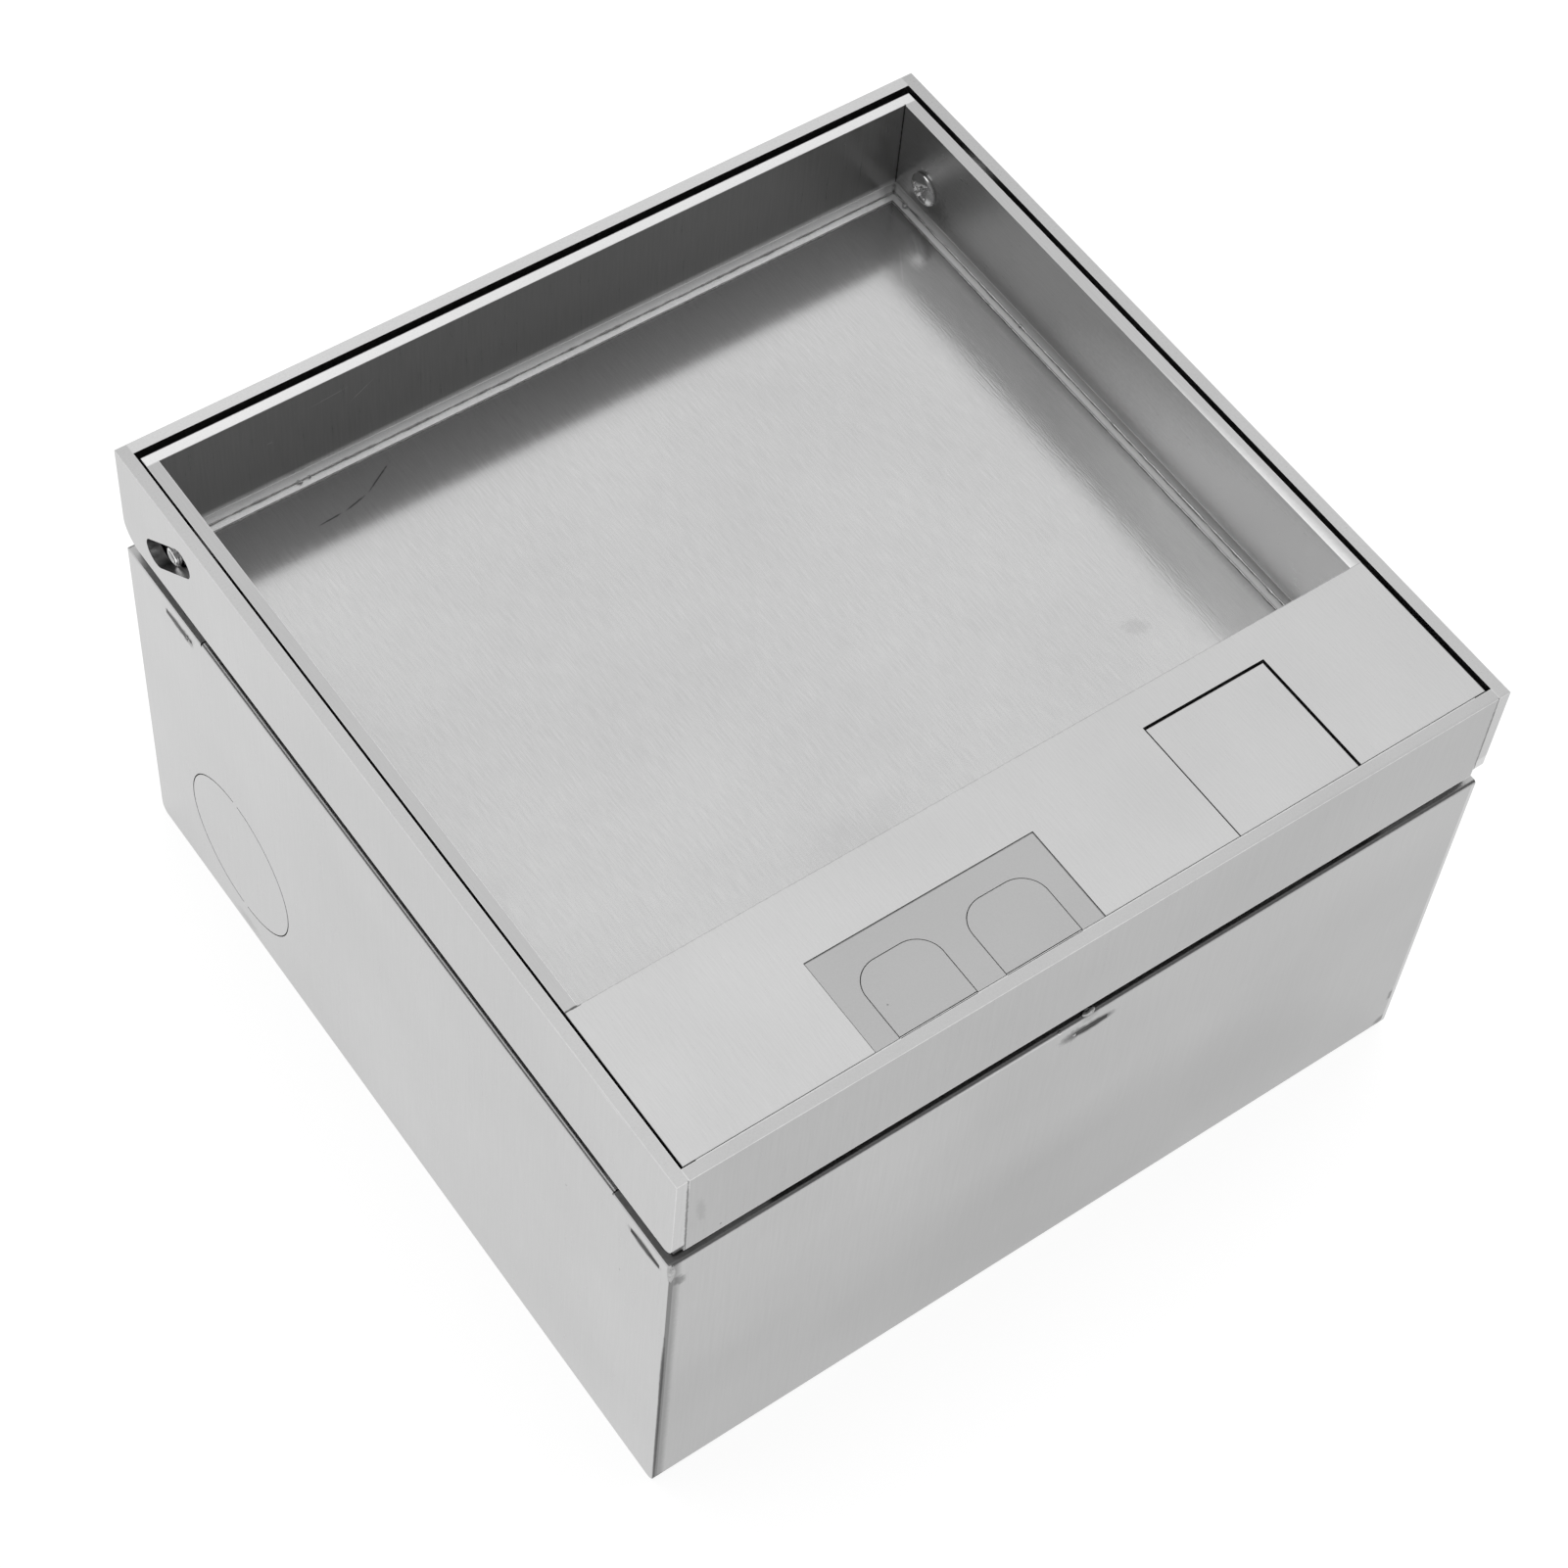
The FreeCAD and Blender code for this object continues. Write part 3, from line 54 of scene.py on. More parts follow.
def fillers(tree):
    """The add and calc functions of a node tree. A socket given as an input is linked."""

    def add(kind, **inputs):
        """A new node of a kind, or a shared group; _0 names an input by number, _ stands for a space."""
        shared = isinstance(kind, bpy.types.NodeTree)
        node = tree.nodes.new("ShaderNodeGroup" if shared else kind)
        if shared:
            node.node_tree = kind
        for name, value in inputs.items():
            key = int(name[1:]) if name[0] == "_" else name.replace("_", " ")
            socket = node.inputs[key]
            if isinstance(value, bpy.types.NodeSocket):
                tree.links.new(value, socket)
            else:
                socket.default_value = value
        return node

    def calc(operation, one, other, kind="ShaderNodeMath"):
        """The result of a math node, or of a vector math node."""
        node = add(kind, _0=one, _1=other)
        node.operation = operation
        return node.outputs[0]

    return add, calc


def shader(material):
    """Clears a material or world and gives its add and calc functions."""
    material.use_nodes = True
    material.node_tree.nodes.clear()
    return fillers(material.node_tree)


def floor_material(lift=0.88):
    """Pale matt floor that a camera or a mirror sees as white, less the object's shadow."""
    material = bpy.data.materials.new("studio_floor")
    add, calc = shader(material)
    rays = add("ShaderNodeLightPath").outputs
    seen = calc("MAXIMUM", rays["Is Camera Ray"], rays["Is Glossy Ray"])
    seen = calc("MAXIMUM", seen, rays["Is Transmission Ray"])
    matt = add("ShaderNodeBsdfDiffuse", Color=(0.22, 0.22, 0.22, 1))
    glow = add("ShaderNodeEmission", Color=(1, 1, 1, 1), Strength=calc("MULTIPLY", seen, lift))
    both = add("ShaderNodeAddShader", _0=matt.outputs[0], _1=glow.outputs[0])
    add("ShaderNodeOutputMaterial", Surface=both.outputs[0])
    return material


def studio_floor(half=6.0):
    """One square face under the box."""
    mesh = bpy.data.meshes.new("studio_floor")
    corners = [(-half, -half, 0), (half, -half, 0), (half, half, 0), (-half, half, 0)]
    mesh.from_pydata(corners, [], [(0, 1, 2, 3)])
    floor = bpy.data.objects.new("studio_floor", mesh)
    mesh.materials.append(floor_material())
    scene.collection.objects.link(floor)


def studio_sky(low=0.18, level=1.12, height=(0.64, 0.745), behind=(-0.30, 0.15), slant=0.12):
    """Dim sky with a bright bank overhead and behind: smooth steps of the direction's Z + slant X and Y."""
    world = bpy.data.worlds.new("studio_sky")
    scene.world = world
    add, calc = shader(world)
    place = add("ShaderNodeTexCoord")
    axes = add("ShaderNodeSeparateXYZ", Vector=place.outputs["Generated"]).outputs
    raised = calc("ADD", axes["Z"], calc("MULTIPLY", axes["X"], slant))
    steps = []
    for value, (start, full) in ((raised, height), (axes["Y"], behind)):
        step = add("ShaderNodeMapRange", Value=value, From_Min=start, From_Max=full)
        step.interpolation_type = "SMOOTHSTEP"
        steps.append(step.outputs[0])
    bright = add("ShaderNodeMapRange", Value=calc("MULTIPLY", *steps), To_Min=low, To_Max=level)
    rays = add("ShaderNodeLightPath").outputs
    seen = add("ShaderNodeMix", _0=rays["Is Camera Ray"], _2=bright.outputs[0], _3=1.0)
    sky = add("ShaderNodeBackground", Color=(1, 1, 1, 1), Strength=seen.outputs[0])
    add("ShaderNodeOutputWorld", Surface=sky.outputs[0])


def overhead_lamp(height=1.4, size=1.6, power=12.5):
    """A wide square lamp that metal doesn't mirror."""
    light = bpy.data.lights.new("overhead_lamp", "AREA")
    light.shape = "SQUARE"
    light.size = size
    light.energy = power
    lamp = bpy.data.objects.new("overhead_lamp", light)
    lamp.location = (0.15, 0.1, height)
    lamp.visible_glossy = False
    scene.collection.objects.link(lamp)


def camera(place=(-0.36488, -0.42515, 0.88681), focal_length=84.31):
    """A long lens high over the front left corner, given by its place and its three axes."""
    lens = bpy.data.cameras.new("camera")
    lens.sensor_width = 36
    lens.lens = focal_length
    lens.clip_start = 0.05
    lens.clip_end = 30
    across = (0.81370472, -0.57787283, 0.06283018)
    up = (0.45030687, 0.69502086, 0.56050846)
    back = (-0.36757089, -0.42779552, 0.82576185)
    turn = Matrix((across, up, back)).transposed().to_4x4()
    view = bpy.data.objects.new("camera", lens)
    view.matrix_world = Matrix.Translation(place) @ turn
    scene.collection.objects.link(view)
    scene.camera = view


studio_floor()
studio_sky()
overhead_lamp()
camera()


# ---- Trim frame
# Four flat bars of stainless steel on edge, welded at the corners and ground, with upright grain.
# Their edges and top edges carry painted highlight, the front bar is painted darker as shade, and a dark
# line shows where the front bar meets the side bars.

# Sizes are in millimetres from here on, and MM turns them into metres.
MM = 0.001


def open_group(name, inputs, *outputs):
    """An empty shared group: its tree, its add and calc functions, and the sockets it starts from."""
    group = bpy.data.node_groups.new(name, "ShaderNodeTree")
    for key, kind in inputs.items():
        group.interface.new_socket(key, in_out="INPUT", socket_type=f"NodeSocket{kind}")
    for key in outputs:
        group.interface.new_socket(key, in_out="OUTPUT", socket_type="NodeSocketFloat")
    add, calc = fillers(group)
    return group, add, calc, add("NodeGroupInput").outputs


def brushed_grain():
    """Shared group: streaks of noise stretched by Scale, and slow clouds."""
    group, add, calc, start = open_group("brushed_grain", {"Scale": "Vector"}, "Streak", "Cloud")
    place = add("ShaderNodeTexCoord").outputs["Object"]
    stretched = calc("MULTIPLY", place, start["Scale"], "ShaderNodeVectorMath")
    fine = add("ShaderNodeTexNoise", Vector=stretched, Scale=1, Detail=4, Roughness=0.65)
    cloud = add("ShaderNodeTexNoise", Vector=place, Scale=22, Detail=3)
    add("NodeGroupOutput", Streak=fine.outputs[0], Cloud=cloud.outputs[0])
    return group


def painted_edge_shading():
    """Shared group: 1 on the edges of the box from Low to High, fading over a Width that wavers, for
    painting a highlight or a shade along those edges.
    """
    inputs = {"Low": "Vector", "High": "Vector", "Width": "Float"}
    group, add, calc, start = open_group("painted_edge_shading", inputs, "Mask")
    place = add("ShaderNodeTexCoord").outputs["Object"]
    below = calc("SUBTRACT", place, start["Low"], "ShaderNodeVectorMath")
    above = calc("SUBTRACT", start["High"], place, "ShaderNodeVectorMath")
    near = calc("MINIMUM", below, above, "ShaderNodeVectorMath")
    x, y, z = add("ShaderNodeSeparateXYZ", Vector=near).outputs
    second = calc("MAXIMUM", calc("MINIMUM", x, y), calc("MINIMUM", calc("MAXIMUM", x, y), z))
    waver = add("ShaderNodeTexNoise", Vector=place, Scale=700, Detail=2).outputs[0]
    width = calc("MULTIPLY", start["Width"], calc("MULTIPLY", waver, 2))
    mask = add("ShaderNodeMapRange", Value=second, From_Min=calc("MULTIPLY", width, 0.4), From_Max=width,
               To_Min=1.0, To_Max=0.0)
    add("NodeGroupOutput", Mask=mask.outputs[0])
    return group


def surface_mark():
    """Shared group: 1 inside an ellipsoid of a Centre, semi-axes Reach and a Turn, with a Ragged edge."""
    inputs = {"Centre": "Vector", "Reach": "Vector", "Turn": "Vector", "Ragged": "Float"}
    group, add, calc, start = open_group("surface_mark", inputs, "Mask")
    place = add("ShaderNodeTexCoord").outputs["Object"]
    offset = calc("SUBTRACT", place, start["Centre"], "ShaderNodeVectorMath")
    turned = add("ShaderNodeVectorRotate", Vector=offset, _4=start["Turn"])
    turned.rotation_type = "EULER_XYZ"
    scaled = calc("DIVIDE", turned.outputs[0], start["Reach"], "ShaderNodeVectorMath")
    length = add("ShaderNodeVectorMath", _0=scaled)
    length.operation = "LENGTH"
    ragged = add("ShaderNodeTexNoise", Vector=place, Scale=900, Detail=3).outputs[0]
    jag = calc("MULTIPLY", calc("SUBTRACT", ragged, 0.5), start["Ragged"])
    far = calc("ADD", length.outputs["Value"], jag)
    mask = add("ShaderNodeMapRange", Value=far, From_Min=0.45, From_Max=1.0, To_Min=1.0, To_Max=0.0)
    add("NodeGroupOutput", Mask=mask.outputs[0])
    return group


GRAIN = brushed_grain()
EDGE = painted_edge_shading()
MARK = surface_mark()
# Noise scales along X, Y and Z: a low one draws the grain out along that axis.
UPRIGHT = (1500, 1500, 60)
FRONT_TO_BACK = (1900, 130, 1900)
NO_GRAIN = (900, 900, 900)
RIM_WIDTH = 0.2


def mark(centre, reach, factor, turn=(0, 0, 0), ragged=1.1):
    """A mark's inputs, and the factor for the tone in it: lengths in millimetres, turn in degrees."""
    sockets = {
        "Centre": [value * MM for value in centre],
        "Reach": [value * MM for value in reach],
        "Turn": [math.radians(value) for value in turn],
        "Ragged": ragged,
    }
    return sockets, factor


def marked(add, calc, tone, marks):
    """A tone multiplied by each mark's factor where its mask is 1."""
    for sockets, factor in marks:
        mask = add(MARK, **sockets)
        share = add("ShaderNodeMapRange", Value=mask.outputs[0], To_Min=1.0, To_Max=factor)
        tone = calc("MULTIPLY", tone, share.outputs[0])
    return tone


def stainless(name, grain, tone=0.56, roughness=0.3, contrast=0.06, relief=0.05, metallic=1.0,
              rim=None, top=None, marks=()):
    """Brushed steel: its grain varies tone, roughness and height, and slow clouds vary the tone.

    rim is a node and the tone painted on its edges, a highlight where lighter and a shade where darker. top
    is a height in millimetres, then the tone, the roughness and, where it differs, the metallic share above
    it; that tone paints the light or shade that falls on a top edge.
    """
    material = bpy.data.materials.new(name)
    add, calc = shader(material)
    streaks = add(GRAIN, Scale=grain).outputs
    streak = streaks["Streak"]
    base, coarse, shine = tone, roughness, metallic
    if top:
        axes = add("ShaderNodeSeparateXYZ", Vector=add("ShaderNodeTexCoord").outputs["Object"]).outputs
        above = calc("GREATER_THAN", axes["Z"], top[0] * MM)
        values = [
            add("ShaderNodeMapRange", Value=above, To_Min=low, To_Max=high).outputs[0]
            for low, high in zip((tone, roughness, metallic), top[1:])
        ]
        base, coarse, shine = (values + [metallic])[:3]
    if rim:
        low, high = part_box(rim[0])
        edge = add(EDGE, Low=low, High=high, Width=RIM_WIDTH * MM).outputs[0]
        base = add("ShaderNodeMix", _0=edge, _2=base, _3=rim[1]).outputs[0]

    def spread(value, low, high):
        """Noise, which stays near its middle, stretched to run from low to high."""
        wide = add("ShaderNodeMapRange", Value=value, From_Min=0.3, From_Max=0.7, To_Min=low, To_Max=high)
        return wide.outputs[0]

    shade = spread(streak, 1 - contrast, 1 + contrast)
    patch = spread(streaks["Cloud"], 0.97, 1.03)
    toned = marked(add, calc, calc("MULTIPLY", base, calc("MULTIPLY", shade, patch)), marks)
    rough = calc("MULTIPLY", coarse, spread(streak, 0.9, 1.15))
    bump = add("ShaderNodeBump", Strength=relief, Distance=0.0002, Height=streak)
    steel = add("ShaderNodeBsdfPrincipled", Metallic=shine, Base_Color=toned, Roughness=rough,
                Normal=bump.outputs[0])
    add("ShaderNodeOutputMaterial", Surface=steel.outputs[0])
    return material


def dress(material, *names):
    """Puts a material in every slot of the named CAD nodes."""
    for name in names:
        slots = nodes[name].data.materials
        for number in range(max(1, len(slots))):
            if number < len(slots):
                slots[number] = material
            else:
                slots.append(material)


BAR_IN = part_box("front_bar")[1][0] / MM
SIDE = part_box("right_bar")[1][0] / MM
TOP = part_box("right_bar")[1][2] / MM
BAR_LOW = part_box("front_bar")[0][2] / MM

# A point less than TOP_SKIN below a top edge wears the tone of that edge.
TOP_SKIN = 0.05
SAWN_ROUGHNESS = 0.3
# Tone of each bar's faces, and of its top edge: the front bar's darker faces are painted shade, and the
# lighter top edges painted highlight.
BAR_TONES = {
    "left_bar": (0.54, 0.56),
    "right_bar": (0.54, 0.56),
    "rear_bar": (0.54, 0.7),
    "front_bar": (0.43, 0.53),
}
# The dark joints at both ends of the front bar, a smudge and a spot near the left one, a painted highlight
# as a bright stroke near the top of the left bar, and a broad painted shade on the right half of the front
# bar.
bar_marks = [
    mark((-BAR_IN, -SIDE, BAR_LOW + 16), (0.4, 0.5, 40), 0.3, turn=(0, 1, 0)),
    mark((BAR_IN, -SIDE, BAR_LOW + 16), (0.4, 0.5, 40), 0.3, turn=(0, 1, 0)),
    mark((-117.4, -SIDE, 143.6), (1.6, 1, 7), 0.86, turn=(0, 8, 0)),
    mark((-111.2, -SIDE, 130.2), (0.35, 1, 0.35), 0.3),
    mark((-SIDE, -99, 160.5), (1, 9, 0.5), 1.12),
    mark((90, -SIDE, 145), (110, 1, 60), 0.95, ragged=0.1),
]
bar_steel = {}
for name, (face_tone, top_tone) in BAR_TONES.items():
    bar_steel[name] = stainless(f"{name}_stainless", UPRIGHT, tone=face_tone, rim=(name, 0.66),
                                top=(TOP - TOP_SKIN, top_tone, SAWN_ROUGHNESS), marks=bar_marks)
    dress(bar_steel[name], name)


def steel_piece(name, rings, material, body, slot, *hidden):
    """Skin over closed rings of points, rows x around x 3, with a fan of triangles over each end.

    The faces are turned outwards by the sign of the volume that they enclose.
    """
    count, around = rings.shape[:2]
    points = np.vstack([rings.reshape(-1, 3), rings[0].mean(axis=0), rings[-1].mean(axis=0)])
    one = np.arange(around)
    two = (one + 1) % around
    low = np.arange(count - 1)[:, None] * around
    high = low + around
    sides = np.stack([low + one, low + two, high + two, high + one], axis=-1).reshape(-1, 4)
    last = (count - 1) * around
    first_fan = np.stack([two, one, np.full(around, count * around)], axis=1)
    last_fan = np.stack([last + one, last + two, np.full(around, count * around + 1)], axis=1)
    fans = np.stack([first_fan, last_fan], axis=1).reshape(-1, 3)
    triangles = points[np.vstack([sides[:, :3], sides[:, [0, 2, 3]], fans])]
    volume = (triangles[:, 0] * np.cross(triangles[:, 1], triangles[:, 2])).sum()
    if volume < 0:
        sides, fans = sides[:, ::-1], fans[:, ::-1]
    faces = sides.tolist() + fans.tolist()
    mesh = bpy.data.meshes.new(name)
    mesh.from_pydata(points.tolist(), [], faces)
    mesh.polygons.foreach_set("use_smooth", [True] * len(faces))
    mesh.materials.append(material)
    piece = bpy.data.objects.new(name, mesh)
    scene.collection.objects.link(piece)
    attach(piece, body)
    if hidden:
        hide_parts(*hidden)
    return piece


def weld_blob(name, centre, size, seed, material, body, slot):
    """Set lump of weld: rows of circles along Z on an ellipsoid.

    Its radius is multiplied by 1 + 0.14 / sqrt(k) sin(k tilt + a) cos(k angle + b), for k = 2, 3 and 5.
    """
    rows, around = 12, 20
    pole = 0.08
    random = np.random.default_rng(seed)
    tilt = np.linspace(pole, np.pi - pole, rows)
    angle = np.linspace(0, 2 * np.pi, around, endpoint=False)
    wave = np.ones((rows, around))
    for harmonic in (2, 3, 5):
        shift = random.uniform(0, 2 * np.pi, 2)
        over = np.sin(harmonic * tilt + shift[0])
        across = np.cos(harmonic * angle + shift[1])
        wave += 0.14 / harmonic ** 0.5 * np.outer(over, across)
    unit = np.stack([
        np.outer(np.sin(tilt), np.cos(angle)),
        np.outer(np.sin(tilt), np.sin(angle)),
        np.outer(-np.cos(tilt), np.ones(around)),
    ], axis=-1)
    rings = np.array(centre) + np.array(size) * wave[..., None] * unit
    steel_piece(name, rings * MM, material, body, slot)


weld_metal = stainless("weld_metal", NO_GRAIN, tone=0.62, roughness=0.22, contrast=0.25, relief=0.5)


def straight_piece(name, outline, span, material):
    """A ground piece on the frame: an outline of Y and Z in millimetres, carried along a span of X."""
    rings = np.empty((2, len(outline), 3))
    rings[..., 0] = np.array(span)[:, None]
    rings[..., 1:] = outline
    piece = steel_piece(name, rings * MM, material, "box", "frame_stainless")
    piece.data.polygons.foreach_set("use_smooth", [False] * len(piece.data.polygons))


def corner_fill(name, side, rounding=3.5, bar_rounding=7.0, overlap=0.05, setback=0.02):
    """Ground weld that squares up the front bottom corner of a side bar.

    Its outline is a small quarter circle outside and the bar's own quarter circle inside.
    """
    quarter = np.linspace(0, np.pi / 2, 10)
    arc = 1 - np.stack([np.cos(quarter), np.sin(quarter)], axis=1)
    corner = np.array((-SIDE, BAR_LOW))
    outer = corner + rounding * arc
    inner = corner + overlap + bar_rounding * arc
    span = sorted((side * BAR_IN, side * (SIDE - setback)))
    straight_piece(name, np.vstack([outer, inner[::-1]]), span, bar_steel["left_bar"])


corner_fill("corner_fill_left", -1)
corner_fill("corner_fill_right", 1)


# ---- Lid: tray and service strip
# Walls and service strip of stainless plate, welded to a tray with a sheet floor; the floor, the strip and
# the side walls have their grain front to back. The floor meets the walls in a ground weld with two bright,
# uneven lines of bead, and the grinding left scratches.

WELD_FOOT = 3.3
WELD_LIP = 0.1
WALL_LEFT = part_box("tray_left_wall")[1][0] / MM
WALL_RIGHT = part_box("tray_right_wall")[0][0] / MM
WALL_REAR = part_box("tray_rear_wall")[0][1] / MM
STRIP_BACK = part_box("service_strip")[1][1] / MM
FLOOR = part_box("tray_floor")[1][2] / MM - WELD_FOOT - WELD_LIP

joint_mark = mark((WALL_LEFT - 1.75, STRIP_BACK, TOP), (3.4, 0.4, 1), 0.25)
# Painted shade down the rear right corner, over its weld, at its foot and on the right wall beside it; three
# painted highlights as bright strokes on the rear wall.
corner_marks = [
    mark((WALL_RIGHT, WALL_REAR, 145), (0.35, 0.35, 60), 0.25),
    mark((WALL_RIGHT, WALL_REAR, FLOOR + 2), (1.4, 1.4, 2), 0.15),
    mark((WALL_RIGHT, WALL_REAR - 16, FLOOR + 9), (2, 9, 7), 0.75),
    mark((-68, WALL_REAR, 154.8), (6, 0.3, 0.14), 1.7, turn=(0, 6, 0)),
    mark((-58, WALL_REAR, 151.6), (5, 0.3, 0.14), 1.7, turn=(0, 32, 0)),
    mark((-86, WALL_REAR, 148), (1, 0.3, 0.2), 1.5),
]
# Painted highlights: a bright band along the ground weld at the rear, and a painted reflection over the
# front part of the right wall.
weld_glare = mark((0, WALL_REAR, FLOOR + 3.2), (400, 3, 2.3), 1.9, ragged=0.1)
wall_glare = mark((WALL_RIGHT - 2, -78, 136), (6, 130, 40), 2.1, ragged=0.1)


def tray_wall(node, grain, tone, top_tone, marks, *others):
    """Dresses a wall of the tray, and others in the same steel: a painted highlight along its edges, and a
    top edge in a tone of its own that paints the light or shade on it.
    """
    wall_steel = stainless(node.replace("_wall", "_stainless"), grain, tone=tone, rim=(node, 0.66),
                           top=(TOP - TOP_SKIN, top_tone, SAWN_ROUGHNESS), marks=marks)
    dress(wall_steel, node, *others)


# The rear wall is painted darker as shade, and its top edge lighter as a highlight.
tray_wall("tray_rear_wall", UPRIGHT, 0.43, 0.86, corner_marks + [weld_glare])
tray_wall("tray_right_wall", FRONT_TO_BACK, 0.58, 0.56, corner_marks + [wall_glare])
tray_wall("tray_left_wall", FRONT_TO_BACK, 0.58, 0.52, [joint_mark], "tray_front_wall", "finger_flap_lugs")

# Above this height the floor's own node is the ground weld along the walls, made near white and mostly matt:
# a painted highlight for the light it reflects.
WELD_BAND = FLOOR + 0.06
# Scratches at the rear left and rear right, a stain and a soft patch, painted shade in the rear right
# corner, and painted shade on the band of weld along the right wall.
floor_marks = [
    mark((-60.5, 105.5, FLOOR), (6.5, 0.34, 1), 0.4, turn=(0, 0, -30)),
    mark((-70, 101.5, FLOOR), (4.5, 0.34, 1), 0.4, turn=(0, 0, -14)),
    mark((-78, 100.4, FLOOR), (4.2, 0.34, 1), 0.4, turn=(0, 0, -4)),
    mark((108, 94, FLOOR), (0.3, 7, 1), 1.15, turn=(0, 0, 25)),
    mark((101, 92, FLOOR), (0.3, 9, 1), 1.12, turn=(0, 0, 32)),
    mark((78.5, -41.6, FLOOR), (4.5, 3, 1), 0.9, turn=(0, 0, 30)),
    mark((-20, -55, FLOOR), (22, 9, 1), 0.96),
    mark((WALL_RIGHT, WALL_REAR, FLOOR), (2.5, 2.5, 3), 0.3),
    mark((WALL_RIGHT - 1.5, 20, FLOOR + 1.8), (5, 600, 5), 0.55, ragged=0.2),
]
floor_steel = stainless("tray_floor_stainless", FRONT_TO_BACK, tone=0.53, roughness=0.15, relief=0.12,
                        metallic=0.8, top=(WELD_BAND, 0.95, 0.45, 0.25), marks=floor_marks)
dress(floor_steel, "tray_floor")
# The strip's outer edges are painted dark, as shade in the gaps round it.
strip_steel = stainless("strip_stainless", FRONT_TO_BACK, tone=0.6, relief=0.08, rim=("service_strip", 0.4),
                        marks=[joint_mark])
dress(strip_steel, "service_strip")
# The finger flap's edges are painted dark too, as shade in its gap.
flap_steel = stainless("finger_flap_stainless", FRONT_TO_BACK, tone=0.6, relief=0.08,
                       rim=("finger_flap", 0.45))
dress(flap_steel, "finger_flap", "finger_flap_pin")


def along(path, radii, around=10):
    """Circles across a path: point + radius (cos angle side + sin angle other), without twist."""
    path = np.asarray(path, float)
    ahead = np.gradient(path, axis=0)
    ahead /= np.linalg.norm(ahead, axis=1)[:, None]
    side = np.array((0.0, 0.0, 1.0)) if abs(ahead[0, 2]) < 0.9 else np.array((1.0, 0.0, 0.0))
    sides = np.empty_like(path)
    for row, forward in enumerate(ahead):
        side = side - forward * side.dot(forward)
        side /= np.linalg.norm(side)
        sides[row] = side
    others = np.cross(ahead, sides)
    angle = np.linspace(0, 2 * np.pi, around, endpoint=False)[:, None]
    spread = np.cos(angle) * sides[:, None] + np.sin(angle) * others[:, None]
    return path[:, None] + np.asarray(radii)[:, None, None] * spread


def weld_bead(name, start, end, radius, seed, step=0.8, stray=0.05, swell=0.35):
    """Thin bead along a seam: smoothed noise times stray moves its line, and times swell its radius."""
    random = np.random.default_rng(seed)
    start, end = np.array(start), np.array(end)
    count = int(np.linalg.norm(end - start) / step)
    rough = random.normal(0, 1, (count, 4))
    rough = (rough + np.roll(rough, 1, axis=0) + np.roll(rough, -1, axis=0)) / 3
    path = start + np.linspace(0, 1, count)[:, None] * (end - start) + stray * rough[:, :3]
    radii = radius * np.clip(1 + swell * rough[:, 3], 0.5, 1.6)
    steel_piece(name, along(path, radii, 8) * MM, weld_metal, "lid", "tray_floor_stainless")


# Each seam has two beads: how far from its wall, how far short of the next seam, how high, how thick.
HIGH_RISE = 1.0
BEADS = {
    "low": (WELD_FOOT, WELD_FOOT, WELD_LIP, 0.22),
    "high": (1.2, 1.0, HIGH_RISE, 0.3),
}
for key, wall, inwards in (("left", WALL_LEFT, 1), ("right", WALL_RIGHT, -1)):
    for seed, (level, (off, short, rise, radius)) in enumerate(BEADS.items(), 11):
        beside = wall + inwards * off
        weld_bead(f"seam_{key}_{level}", (beside, STRIP_BACK, FLOOR + rise),
                  (beside, WALL_REAR - short, FLOOR + rise), radius, seed)
for seed, (level, (off, short, rise, radius)) in enumerate(BEADS.items(), 13):
    weld_bead(f"seam_rear_{level}", (WALL_LEFT + short, WALL_REAR - off, FLOOR + rise),
              (WALL_RIGHT - short, WALL_REAR - off, FLOOR + rise), radius, seed)
seam_lumps = (
    (-79, WALL_REAR - 1.4, 0.8),
    (-76, WALL_REAR - 1.2, 0.6),
    (WALL_RIGHT - 1.2, 56, 0.6),
    (WALL_RIGHT - 1.5, 109, 0.9),
)
for number, (x, y, size) in enumerate(seam_lumps):
    weld_blob(f"seam_lump_{number}", (x, y, FLOOR + HIGH_RISE), (size, size, 0.5), number, weld_metal, "lid",
              "tray_floor_stainless")


def gap_ledge(name, low_x, high_x, depth, overlap=0.05, below=0.1, thickness=0.4):
    """Thin ground ledge on the front bar that closes the front gap just under the lid's top face."""
    back, front = -BAR_IN - overlap, -BAR_IN + depth
    high = TOP - below
    low = high - thickness
    outline = [(back, low), (front, low), (front, high), (back, high)]
    straight_piece(name, outline, (low_x, high_x), bar_steel["front_bar"])


LID_LEDGE = 0.2
FLAP_LEDGE = 0.38
gap_ledge("front_gap_ledge", WALL_LEFT, WALL_RIGHT, LID_LEDGE)
for key in ("left", "right"):
    flap_low, flap_high = (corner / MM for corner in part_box(f"cable_flap_{key}"))
    gap_ledge(f"notch_ledge_{key}", flap_low[0], flap_high[0], FLAP_LEDGE)


# ---- Hinge screws
# Two screws of bright zinc-plated steel, turned outwards through the side walls of the tray. Their pan
# heads with a cross recess lie inside the tray, and the threaded ends stand in the bars' windows.

def screw_metal(name, tone=0.75, roughness=0.16, marks=()):
    """Bright zinc: a smooth metal with faint mottling in tone and roughness."""
    return stainless(name, (700, 700, 700), tone=tone, roughness=roughness, contrast=0.08, relief=0.04,
                     marks=marks)


